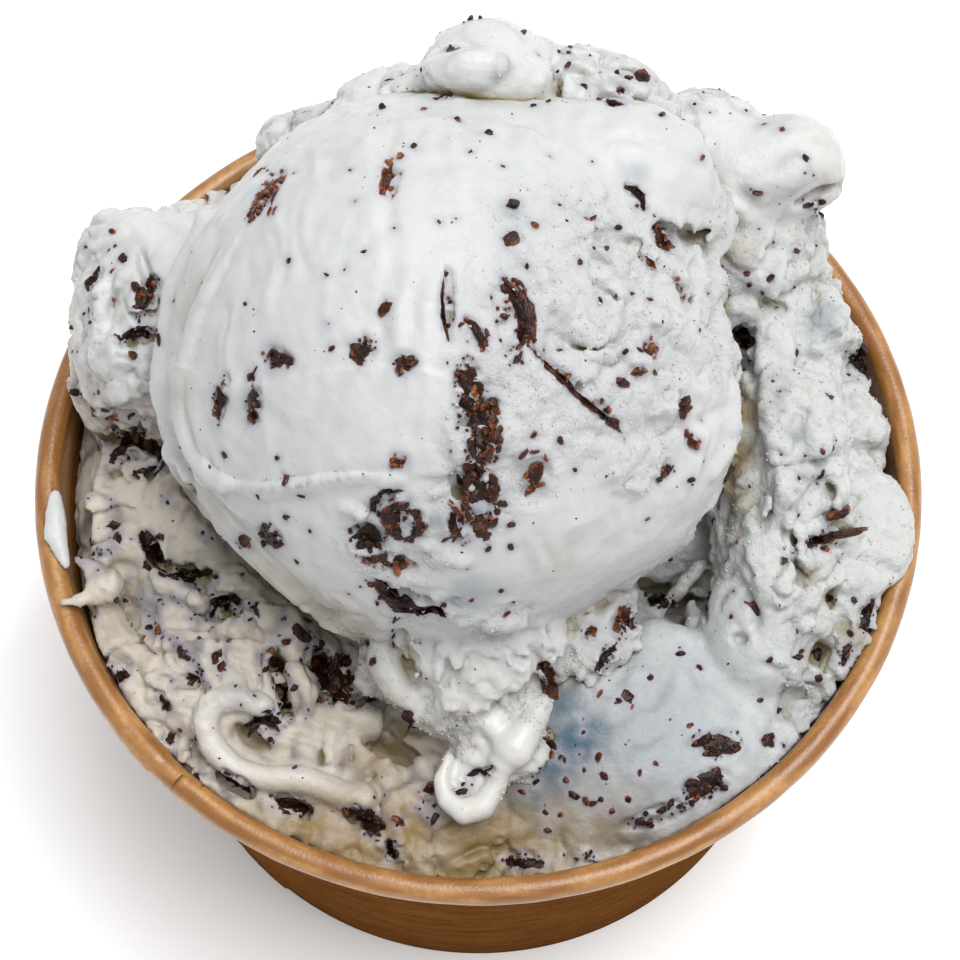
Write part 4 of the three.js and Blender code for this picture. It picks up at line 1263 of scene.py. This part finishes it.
def strew(skin, count, low, spread, seed, chocolate, chance=None):
    """Chips strewn over a surface, half sunk: least length and its spread."""
    draws = np.random.default_rng(seed)
    if chance is None:
        chance = ease(noise(skin.points, 8, seed), -0.2, 0.5) + 0.1
    chance = chance * (skin.points[:, 2] > 57)
    for index in draws.choice(len(skin.points), count, p=chance / chance.sum()):
        length = min(low + spread * draws.exponential(), 3)
        shape = (length, length * (0.35 + 0.45 * draws.random()), 0.4 * length + 0.15)
        points, faces, edge = chip(shape, draws, 0, 0.4)
        out = skin.normals[index]
        axes = tumbled(out, 1.2, draws)
        place = skin.points[index] - out * 0.12 * length
        chocolate.add(points @ axes + place, faces, edge, 0.85 * draws.random() ** 1.3)


strew(scoop, 70, 0.4, 0.25, 91, chocolates[0])
strew(bed, 240, 0.5, 0.5, 92, chocolates[1])
strew(bed, 640, 0.4, 0.45, 95, chocolates[1], bed.marble**2)
strew(scoop, 60, 0.35, 0.25, 96, chocolates[0], scoop.marble**2)


# ---- Weights for the colours -----------------------------------------------------------------------
def stain_near(skin, chocolate):
    """Where cocoa has coloured the ice cream: 1 at a chip, fading within a millimetre."""
    places = np.vstack(chocolate.points)[::3]
    tree = KDTree(len(places))
    for index, place in enumerate(places):
        tree.insert(place, index)
    tree.balance()
    away = np.array([tree.find(place)[2] for place in skin.points.tolist()])
    return np.exp(-away / 0.5)


def tints(skin, tree, places):
    """Soft round patches, 0 to 1, wavering at their edges."""
    tint = np.zeros(len(skin.points))
    wander = 1 + 0.3 * noise(skin.points, 1.5, 71)
    for px, py, radius, strength in places:
        place = seen_on(tree, px, py)[0]
        if place is not None:
            away = np.linalg.norm(skin.points - place, axis=1) * wander
            tint = np.maximum(tint, strength * bell(away, radius))
    return tint


def box_blur(values, reach):
    """Mean over a cube of 2 * reach + 1 grid points a side."""
    for axis in range(3):
        pad = [(0, 0)] * 3
        pad[axis] = (reach + 1, reach)
        total = np.cumsum(np.pad(values, pad, mode="edge"), axis=axis, dtype=np.float32)
        size = values.shape[axis]
        ahead = np.take(total, range(2 * reach + 1, 2 * reach + 1 + size), axis=axis)
        values = (ahead - np.take(total, range(size), axis=axis)) / (2 * reach + 1)
    return values


def filled_shares():
    """How full the space round each grid point is, over about 2 mm and over about 6 mm."""
    fill = np.clip(0.5 - bed_field.gap / VOXEL, 0, 1)
    skip = scoop_field.start - bed_field.start
    first = np.maximum(skip, 0)
    last = np.minimum(skip + scoop_field.gap.shape, fill.shape)
    cut = tuple(slice(a, b) for a, b in zip(first, last))
    own = tuple(slice(a, b) for a, b in zip(first - skip, last - skip))
    fill[cut] = np.maximum(fill[cut], np.clip(0.5 - scoop_field.gap[own] / VOXEL, 0, 1))
    near, wide = Field(*GRID), Field(*GRID)
    near.gap = box_blur(box_blur(fill, 2), 2)
    wide.gap = box_blur(box_blur(near.gap, 5), 5)
    return near, wide


WEIGHTS = ("deep", "hollow", "stain", "tint", "torn", "warmth", "melted", "marble", "wet")
near_share, wide_share = filled_shares()
for number, (skin, chocolate) in enumerate(zip((scoop, bed), chocolates)):
    # How enclosed the space round each point is, nearby and more widely: masks for the painted shade in
    # crevices and hollows.
    skin.deep = near_share.sample(skin.points + 0.7 * skin.normals)
    skin.hollow = wide_share.sample(skin.points + 2.0 * skin.normals)
    skin.stain = stain_near(skin, chocolate)
    skin.tint = tints(skin, trees[number], TINTED)
    x, y, z = skin.points.T
    # A brown band along the bed's front below the chunk: painted shade, carried in the melt weight.
    front = ease(-y, 33, 40) * ease(x, -30, -20) * ease(-x, -15, -6)
    front *= number * (0.85 + 0.4 * noise(skin.points, 4, 78))
    skin.melted = np.clip(np.maximum(tints(skin, trees[number], MELTED), front), 0, 0.95)

# The finest dust of chocolate, too small to colour the ice cream round it.
strew(scoop, 420, 0.1, 0.15, 5, chocolates[0])
strew(bed, 640, 0.12, 0.2, 6, chocolates[1])


def below_top(points):
    """Keeps points under the height of the scoop's crown."""
    over = np.maximum(points[:, 2] - CROWN, 0)
    points[:, 2] = np.minimum(points[:, 2], CROWN) + SLACK * np.tanh(over / SLACK)


for points in [scoop.points] + chocolates[0].points:
    below_top(points)


def frost(name, skin, chance, count, least, spread, lift, seed):
    """Crumbs of ice cream that stand up from a skin, thickest where chance is greatest."""
    draws = np.random.default_rng(seed)
    chance = chance * ease(-skin.deep, -0.4, -0.25) * (skin.points[:, 2] > 57)
    chance *= ease(noise(skin.points, 4.0, seed), -0.8, 0.2)
    picked = draws.choice(len(skin.points), count, p=chance / chance.sum())
    ball, faces = BALLS[1]
    size = np.minimum(least + spread * draws.exponential(size=count), 3.5 * least)
    shape = ball * draws.uniform(0.6, 1.1, (count, len(ball), 1))
    shape = shape * draws.uniform(0.6, 1.1, (count, 1, 3))
    turned = (shape * size[:, None, None] / 2) @ np.linalg.qr(draws.normal(size=(count, 3, 3)))[0]
    points = (turned + (skin.points + lift * skin.normals)[picked][:, None]).reshape(-1, 3)
    below_top(points)
    faces = (faces + np.arange(count)[:, None, None] * len(ball)).reshape(-1, 3)
    weights = {weight: np.repeat(getattr(skin, weight)[picked], len(ball)) for weight in WEIGHTS}
    # The crumbs get a wet weight, so they are painted lighter (painted light) and made less rough.
    weights["wet"] = np.full(len(points), 0.7)
    weights["stain"] *= 0.3
    weights["tint"] *= 0.5
    return to_mesh(name, points, [faces], **weights)


# ---- The cup ---------------------------------------------------------------------------------------
def arc(radius, height, roll, start, end, count):
    """Points on an arc round (radius, height), between two angles in degrees."""
    angles = np.radians(np.linspace(start, end, count))
    return [(radius + roll * math.cos(a), height + roll * math.sin(a)) for a in angles]


def straight(a, b, count):
    """Points from a up to, but without, b."""
    return [tuple(np.array(a) + (np.array(b) - a) * i / count) for i in range(count)]


def lathe(outline, angles):
    """Points and faces of a closed outline of (radius, height) turned round the axis."""
    outline = np.array(outline)
    radius, height = outline.T
    turned = np.stack((np.outer(np.cos(angles), radius), np.outer(np.sin(angles), radius),
                       np.tile(height, (len(angles), 1))), axis=2)
    rings, around = np.meshgrid(np.arange(len(angles)), np.arange(len(outline)), indexing="ij")
    next_ring, next_point = (rings + 1) % len(angles), (around + 1) % len(outline)
    corners = ((rings, around), (next_ring, around), (next_ring, next_point), (rings, next_point))
    faces = np.stack([(r * len(outline) + p).ravel() for r, p in corners], axis=1)
    return turned.reshape(-1, 3), faces


SEAM_HALF = math.degrees(SEAM_WIDTH / 2 / RIM_RADIUS)
SEAM_ANGLES = SEAM + SEAM_HALF * np.array((-1.02, -1, 1, 1.02))  # both sides of each of its edges
ROLL = BEAD - 0.03
HEM_GAP = 1.15  # between the wall and the folded edge inside its foot
WALL_STEPS = 50
ROLL_STEPS = 36
ROUND_STEPS = 470


def cup_wall():
    hem = FOOT_RADIUS - PAPER - HEM_GAP
    top = BEAD_HEIGHT - 2
    outline = straight((FOOT_RADIUS, 0), (wall_inside(top) + PAPER, top), WALL_STEPS)
    outline += arc(BEAD_RADIUS, BEAD_HEIGHT, ROLL, -120, 180, ROLL_STEPS)
    outline += straight((wall_inside(BEAD_HEIGHT - 1), BEAD_HEIGHT - 1), (wall_inside(1), 1), 20)
    outline += [(hem + 0.15, 1), (hem + 0.7, HEM), (hem + 0.7 - PAPER, HEM), (hem - PAPER, 0)]
    even = np.linspace(SEAM - 359.6, SEAM, ROUND_STEPS)
    angles = np.radians(np.sort(np.concatenate((even, SEAM_ANGLES))))
    points, faces = lathe(outline, angles)

    # The glued overlap stands proud of the wall, and its end shows as a step on the roll.
    turn = np.degrees(np.repeat(angles, len(outline))) - SEAM
    turn = (turn + 180) % 360 - 180
    part = np.tile(np.arange(len(outline)), len(angles))
    outer = (part < WALL_STEPS) & (points[:, 2] > 0.5)
    rolled = (part >= WALL_STEPS) & (part < WALL_STEPS + ROLL_STEPS)
    flat = points[:, :2] / np.linalg.norm(points[:, :2], axis=1, keepdims=True)
    strip = (np.abs(turn) < 1.01 * SEAM_HALF).astype(float)
    wavy = 0.06 * noise(points, 7, 81) + 0.03 * noise(points, 2.5, 82)
    points[:, :2] += flat * (outer * (SEAM_STEP * strip + wavy - 0.06))[:, None]
    overlap = 0.22 * ease(turn, -SEAM_HALF - 9, -SEAM_HALF) * (turn < -SEAM_HALF * 0.99)
    hub = np.column_stack((flat * BEAD_RADIUS, np.full(len(points), BEAD_HEIGHT)))
    dents = 0.05 * noise(points, 4, 83) - 0.06
    points += (points - hub) * (rolled * (overlap + dents) / ROLL)[:, None]

    # Streaks of worn wax, drawn out along the paper.
    length = np.radians(turn) * BEAD_RADIUS
    unrolled = np.column_stack((length / 5, points[:, 2] * 1.2, np.hypot(points[:, 0], points[:, 1])))
    streak = noise(unrolled, 1.6, 84) + 0.6 * noise(unrolled, 0.7, 85)
    return to_mesh("kraft_wall", points, [faces], streak=0.5 + 0.5 * streak,
                   roll=ease(points[:, 2], BEAD_HEIGHT - 2.2, BEAD_HEIGHT - 1))


def cup_base():
    """The raised disc, its middle closed, with a skirt that goes down inside the wall."""
    def skirt(height):
        return wall_inside(height) - 0.3

    low = 1.3
    top = BASE_HEIGHT + PAPER
    outline = straight((0.6, BASE_HEIGHT), (skirt(BASE_HEIGHT) - PAPER, BASE_HEIGHT), 30)
    outline += straight((skirt(BASE_HEIGHT) - PAPER, BASE_HEIGHT), (skirt(low) - PAPER, low), 6)
    outline += straight((skirt(low) - PAPER, low), (skirt(low), low), 1)
    outline += straight((skirt(low), low), (skirt(top), top), 8)
    outline += straight((skirt(top), top), (0.6, top), 30)
    angles = np.radians(np.linspace(0, 358.5, 240))
    points, faces = lathe(outline + [(0.6, top)], angles)
    radius = np.hypot(points[:, 0], points[:, 1])
    middle = radius < 0.7
    points[middle, :2] = 0
    inside = ease(-radius, -34, -30) * ease(points[:, 2], BASE_HEIGHT - 0.1, BASE_HEIGHT)
    points[:, 2] += inside * (0.1 * noise(points * (1, 1, 0), 12, 86) - 0.05)
    return to_mesh("kraft_disc", points, [faces], streak=0.5 + 0.5 * noise(points, 3, 87),
                   roll=np.zeros(len(points)))


# The drop's path over the rim, as compass angle, radius and height, and how thick it is there.
DROP_PATH = [(184, 46.4, 60.1), (187, 46.5, 60.3), (190, 46.7, 60.1), (194, 46.2, 59.7)]
DROP_RADII = (0.7, 1.15, 1.3, 0.6)


def rim_drop():
    """A drop that ran over the rim and set there."""
    drop = Field((-50, -15, 56), (-41, 1, 64))
    path = []
    for turn, radius, height in DROP_PATH:
        angle = math.radians(turn)
        path.append((radius * math.cos(angle), radius * math.sin(angle), height))
    drop.join(rope(path, DROP_RADII), 0.1)
    x, y, z = drop.axes()
    bead = np.hypot(np.hypot(x, y) - BEAD_RADIUS, z - BEAD_HEIGHT) - BEAD - 0.02
    drop.gap = np.maximum(drop.gap, -bead).astype(np.float32)
    drop.gap = np.maximum(drop.gap, np.where(z < BEAD_HEIGHT, FAR, -FAR)).astype(np.float32)
    skin = Skin(drop)
    skin.push(0.12 * noise(skin.points, 1.5, 88))
    zero = np.zeros(len(skin.points))
    return to_mesh("set_drop", skin.points, [skin.faces], **dict.fromkeys(WEIGHTS, zero))


BED_BASE = BASE_HEIGHT + PAPER + 0.35  # height of the ice cream's underside


def deep_part(skin):
    """Swaps the flat underside for sides that go on down the cup, and gives the faces below them."""
    low = skin.points[:, 2] < BED_LOW + 0.3 * VOXEL
    skin.faces = skin.faces[~low[skin.faces].all(1)]
    starts, ends = skin.faces.ravel(), np.roll(skin.faces, -1, axis=1).ravel()
    foot = low[starts] & low[ends]
    edges = set(zip(starts[foot].tolist(), ends[foot].tolist()))
    edges = [(a, b) for a, b in edges if (b, a) not in edges]
    ring = np.array([a for a, _ in edges])
    place = {index: i for i, index in enumerate(ring)}
    count = len(skin.points)
    upper = {index: index for index in place}
    added = []
    faces = []
    for level, height in enumerate(np.linspace(BED_LOW, BED_BASE, 12)[1:]):
        scale = (wall_inside(height) - WALL_GAP) / (wall_inside(BED_LOW) - WALL_GAP)
        points = skin.points[ring] * (scale, scale, 0)
        points[:, 2] = height
        added.append(points)
        lower = {index: count + level * len(ring) + i for index, i in place.items()}
        faces += [(upper[b], upper[a], lower[a], lower[b]) for a, b in edges]
        upper = lower
    middle = count + len(added) * len(ring)
    fan = np.array([(upper[b], upper[a], middle) for a, b in edges])
    added.append(np.array([(0, 0, BED_BASE)]))
    skin.faces = np.vstack((skin.faces, faces))
    skin.points = np.vstack((skin.points, *added))
    for name in WEIGHTS:
        weight = getattr(skin, name)
        setattr(skin, name, np.concatenate((weight, np.zeros(len(skin.points) - count))))
    return fan


# ---- Looks -----------------------------------------------------------------------------------------
class Material:
    """A node material, built up around its one surface shader."""

    def __init__(self, name):
        self.material = bpy.data.materials.new(name)
        self.material.use_nodes = True
        self.tree = self.material.node_tree
        self.shader = self.tree.nodes["Principled BSDF"]

    def node(self, kind, *links, **settings):
        """A new node. Links are (input, value or socket); settings are its own properties."""
        node = self.tree.nodes.new("ShaderNode" + kind)
        for name, value in settings.items():
            setattr(node, name, value)
        for name, value in links:
            self.set(node, name, value)
        return node

    def set(self, node, name, value):
        socket = node.inputs[name]
        if isinstance(value, bpy.types.NodeSocket):
            self.tree.links.new(value, socket)
        elif socket.type == "RGBA":
            socket.default_value = (*value, 1)
        else:
            socket.default_value = value

    def weight(self, name):
        return self.node("Attribute", attribute_name=name).outputs["Fac"]

    def cloud(self, size, detail=3, rough=0.5):
        """Noise with waves of a size in millimetres, 0 to 1."""
        place = self.node("TexCoord").outputs["Object"]
        links = (("Vector", place), ("Scale", 1 / (size * MM)), ("Detail", detail),
                 ("Roughness", rough))
        return self.node("TexNoise", *links).outputs["Fac"]

    def ramp(self, value, low, high, start=0.0, end=1.0):
        """Runs from start to end as a value goes from low to high."""
        links = (("Value", value), ("From Min", low), ("From Max", high),
                 ("To Min", start), ("To Max", end))
        return self.node("MapRange", *links).outputs["Result"]

    def sum(self, a, b):
        return self.node("Math", (0, a), (1, b), operation="ADD").outputs[0]

    def product(self, a, b):
        return self.node("Math", (0, a), (1, b), operation="MULTIPLY").outputs[0]

    def mix(self, factor, a, b):
        node = self.node("Mix", data_type="RGBA")
        self.set(node, 0, factor)
        self.set(node, 6, a)
        self.set(node, 7, b)
        return node.outputs[2]

    def bump(self, height, distance, strength=1.0):
        links = (("Height", height), ("Distance", distance * MM), ("Strength", strength))
        return self.node("Bump", *links).outputs["Normal"]


# Colours of the ice cream: olive painted shade for its deep gaps and shaded cream for its hollows,
# melted pools whose brown is partly painted shade, a slate grey that is partly cocoa tint and partly
# painted shadow, a lighter wet cream that is painted sheen, and the cocoa that stains it.
OLIVE = (0.19, 0.155, 0.065)
SHADED_CREAM = (0.36, 0.30, 0.16)
MELTED_CREAM = (0.19, 0.13, 0.05)
WET_CREAM = (0.52, 0.515, 0.49)
SLATE = (0.03, 0.07, 0.105)
SMUDGE = (0.21, 0.18, 0.19)
MARBLE = (0.13, 0.11, 0.125)
HALO = (0.28, 0.27, 0.32)
STAIN = (0.09, 0.06, 0.06)
# Colours of the chocolate, from its glossy plates to its thinnest broken edges.
BLACK_BROWN = (0.006, 0.003, 0.0025)
BROWN = (0.045, 0.013, 0.006)
RUST = (0.23, 0.062, 0.015)


def ice_cream(name, bright, warm, cool, gloss=0.45):
    """Ice cream, warmer at the front left, stained by cocoa, and rough with ice where it is torn. Its
    crevices and hollows are darkened with painted shade, its slate tint is partly painted shadow, its
    melted brown is partly painted shade, and its wet parts are painted lighter as painted sheen.
    """
    look = Material(name)
    base = look.mix(look.weight("warmth"), bright, warm)
    base = look.mix(look.ramp(look.cloud(2.6, 4, 0.6), 0.45, 0.75, 0.0, 0.6), base, cool)
    smudge = look.product(look.ramp(look.cloud(1.5, 4, 0.6), 0.58, 0.76), look.weight("warmth"))
    base = look.mix(look.product(smudge, 0.55), base, SMUDGE)
    base = look.mix(look.ramp(look.weight("marble"), 0, 1, 0, 0.85), base, MARBLE)
    # Wet places painted lighter: painted sheen, beside their lower roughness.
    base = look.mix(look.ramp(look.weight("wet"), 0, 1, 0, 0.5), base, WET_CREAM)
    # Painted shade: wide hollows darken toward the shaded cream colour.
    hollow = look.ramp(look.weight("hollow"), 0.42, 0.75, 0.0, 0.75)
    base = look.mix(hollow, base, SHADED_CREAM)
    # Yellowish brown melt, partly painted shade in crevices and under the chunk.
    base = look.mix(look.weight("melted"), base, MELTED_CREAM)
    # Slate grey: cocoa tint near the chips, and painted shadow in the big spots on the front mound
    # under the ball.
    tinted = look.mix(look.weight("tint"), base, SLATE)
    halo = look.mix(look.ramp(look.weight("stain"), 0.12, 0.7, 0.0, 0.6), tinted, HALO)
    stained = look.mix(look.ramp(look.weight("stain"), 0.6, 1.0, 0.0, 0.8), halo, STAIN)
    # Painted shade: olive darkening where the cream is enclosed in crevices.
    deep = look.ramp(look.weight("deep"), 0.52, 0.8, 0.0, 0.92)
    look.set(look.shader, "Base Color", look.mix(deep, stained, OLIVE))
    sheen = look.ramp(look.cloud(1.2, 3), 0.3, 0.7, gloss - 0.12, gloss + 0.12)
    dry = look.ramp(look.weight("wet"), 0, 1, 1, 0.4)
    look.set(look.shader, "Roughness", look.product(sheen, dry))
    look.shader.inputs["IOR"].default_value = 1.36
    look.shader.inputs["Subsurface Weight"].default_value = 0.2
    look.shader.inputs["Subsurface Radius"].default_value = (1.0, 0.9, 0.75)
    look.shader.inputs["Subsurface Scale"].default_value = 0.8 * MM
    crystals = look.product(look.cloud(0.6, 5, 0.65), look.ramp(look.weight("torn"), 0, 1, 0.2, 1))
    look.set(look.shader, "Normal", look.bump(crystals, 0.32))
    return look.material


def chocolate_look():
    look = Material("chocolate")
    grainy = look.ramp(look.cloud(0.3, 3), 0.4, 0.7, -0.1, 0.22)
    factor = look.sum(look.weight("tone"), grainy)
    dark = look.mix(look.ramp(factor, 0.0, 0.5), BLACK_BROWN, BROWN)
    look.set(look.shader, "Base Color", look.mix(look.ramp(factor, 0.45, 1.0), dark, RUST))
    look.set(look.shader, "Roughness", look.ramp(look.cloud(0.5, 2), 0.3, 0.7, 0.16, 0.42))
    look.shader.inputs["Specular IOR Level"].default_value = 0.2
    look.set(look.shader, "Normal", look.bump(look.cloud(0.18, 3), 0.07))
    return look.material


RIM_PALE = (0.45, 0.24, 0.08)
RIM_BROWN = (0.20, 0.08, 0.018)


def kraft(name, pale, brown, gloss=0.6):
    """Kraft paper, dull but for the waxed roll of the rim, which is worn in streaks."""
    look = Material(name)
    fibres = look.sum(look.cloud(0.7, 5, 0.7), look.ramp(look.weight("streak"), 0, 1, -0.25, 0.25))
    base = look.mix(look.ramp(fibres, 0.3, 0.75), brown, pale)
    worn = look.mix(look.ramp(look.weight("streak"), 0.3, 1.0), RIM_BROWN, RIM_PALE)
    mottled = look.mix(look.ramp(look.cloud(0.9, 4, 0.6), 0.35, 0.7, 0.0, 0.6), worn, RIM_BROWN)
    look.set(look.shader, "Base Color", look.mix(look.weight("roll"), base, mottled))
    waxed = look.ramp(look.weight("roll"), 0, 1, 1, 0.45)
    dull = look.ramp(fibres, 0.3, 0.8, gloss - 0.08, gloss + 0.15)
    look.set(look.shader, "Roughness", look.product(dull, waxed))
    look.set(look.shader, "Specular IOR Level", look.ramp(look.weight("roll"), 0, 1, 0.0, 0.5))
    look.set(look.shader, "Normal", look.bump(look.cloud(0.35, 4, 0.6), 0.06))
    return look.material


def floor_look():
    look = Material("floor")
    white = look.mix(look.cloud(40, 2), (0.955, 0.955, 0.955), (0.965, 0.965, 0.965))
    look.set(look.shader, "Base Color", white)
    look.set(look.shader, "Roughness", look.ramp(look.cloud(6, 2), 0, 1, 0.75, 0.85))
    look.set(look.shader, "Normal", look.bump(look.cloud(2, 2), 0.02))
    return look.material


def finish(piece, look, node):
    """Gives a piece its look, and lets it stand for a node of the solids."""
    piece.data.materials.append(look)
    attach(piece, "root")
    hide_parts(node)


# ---- The pieces ------------------------------------------------------------------------------------
scoop_cream = ice_cream(
    "scoop_cream", (0.425, 0.43, 0.425), (0.415, 0.40, 0.365), (0.355, 0.375, 0.385)
)
packed_cream = ice_cream(
    "packed_cream", (0.455, 0.465, 0.455), (0.46, 0.41, 0.345), (0.38, 0.39, 0.385), 0.34
)
cocoa = chocolate_look()
# The wall's kraft is coloured far darker than the rim's and the disc's paper: painted shade.
wall_kraft = kraft("wall_kraft", (0.145, 0.057, 0.015), (0.09, 0.034, 0.009))
base_kraft = kraft("base_kraft", (0.33, 0.17, 0.055), (0.24, 0.10, 0.03))

on_chunk = spots(scoop.points, [((0, -26, 62), 12)]) * scoop.torn
scoop_chance = (1 - scoop.stain) * (0.2 * scoop.torn**2 + on_chunk)
bed_chance = bed.torn**2 * (1 - bed.stain)
scoop_crumbs = frost("scoop_crumbs", scoop, scoop_chance, 2400, 0.16, 0.1, 0.03, 93)
bed_crumbs = frost("bed_crumbs", bed, bed_chance, 1200, 0.18, 0.1, 0.03, 94)
finish(scoop_crumbs, scoop_cream, "scoop")
finish(bed_crumbs, packed_cream, "ice_cream_bed")
underside = deep_part(bed)
for name, skin, extra, flakes, look, node, slot in (
    ("scoop", scoop, [], chocolates[0], scoop_cream, "scoop", "scoop_ice_cream"),
    ("bed", bed, [underside], chocolates[1], packed_cream, "ice_cream_bed", "packed_ice_cream"),
):
    weights = {weight: getattr(skin, weight) for weight in WEIGHTS}
    ice = to_mesh(name + "_ice", skin.points, [skin.faces] + extra, **weights)
    finish(ice, look, node)
    chips = to_mesh(name + "_flakes", np.vstack(flakes.points), [np.vstack(flakes.faces)], False,
                    tone=np.concatenate(flakes.tones))
    finish(chips, cocoa, node)
finish(cup_wall(), wall_kraft, "cup_wall")
finish(cup_base(), base_kraft, "cup_base")
finish(rim_drop(), packed_cream, "rim_smear")

# ---- Stage, light and camera -----------------------------------------------------------------------
floor = bpy.data.objects.new("floor", bpy.data.meshes.new("floor"))
floor.data.from_pydata([(-2, -2, 0), (2, -2, 0), (2, 2, 0), (-2, 2, 0)], [], [(0, 1, 2, 3)])
bpy.context.scene.collection.objects.link(floor)
floor.data.materials.append(floor_look())

scene = bpy.context.scene
scene.view_settings.view_transform = "Standard"
WORLD_STRENGTH = 0.78
world = bpy.data.worlds.new("studio")
world.use_nodes = True
world.node_tree.nodes["Background"].inputs["Color"].default_value = (1, 1, 1, 1)
world.node_tree.nodes["Background"].inputs["Strength"].default_value = WORLD_STRENGTH
scene.world = world


def area_light(name, place, size, watts, target=(0, 0, 0.07)):
    data = bpy.data.lights.new(name, "AREA")
    data.size = size
    data.energy = watts
    lamp = bpy.data.objects.new(name, data)
    lamp.location = place
    lamp.rotation_euler = (Vector(target) - Vector(place)).to_track_quat("-Z", "Y").to_euler()
    scene.collection.objects.link(lamp)
    return lamp


area_light("softbox", (0.23, -0.02, 1.10), 0.7, 12.7)
area_light("key", (0.20, 0.28, 0.75), 0.08, 1.2)

SENSOR = 36.0
camera = bpy.data.cameras.new("camera")
camera.lens = SENSOR * FOCAL / PICTURE
camera.sensor_width = SENSOR
camera.shift_x = 0.5 - MIDDLE[0] / PICTURE
camera.shift_y = MIDDLE[1] / PICTURE - 0.5
camera_at = bpy.data.objects.new("camera", camera)
camera_at.location = EYE * MM
camera_at.rotation_euler = Vector(FORWARD).to_track_quat("-Z", "Y").to_euler()
scene.collection.objects.link(camera_at)
scene.camera = camera_at
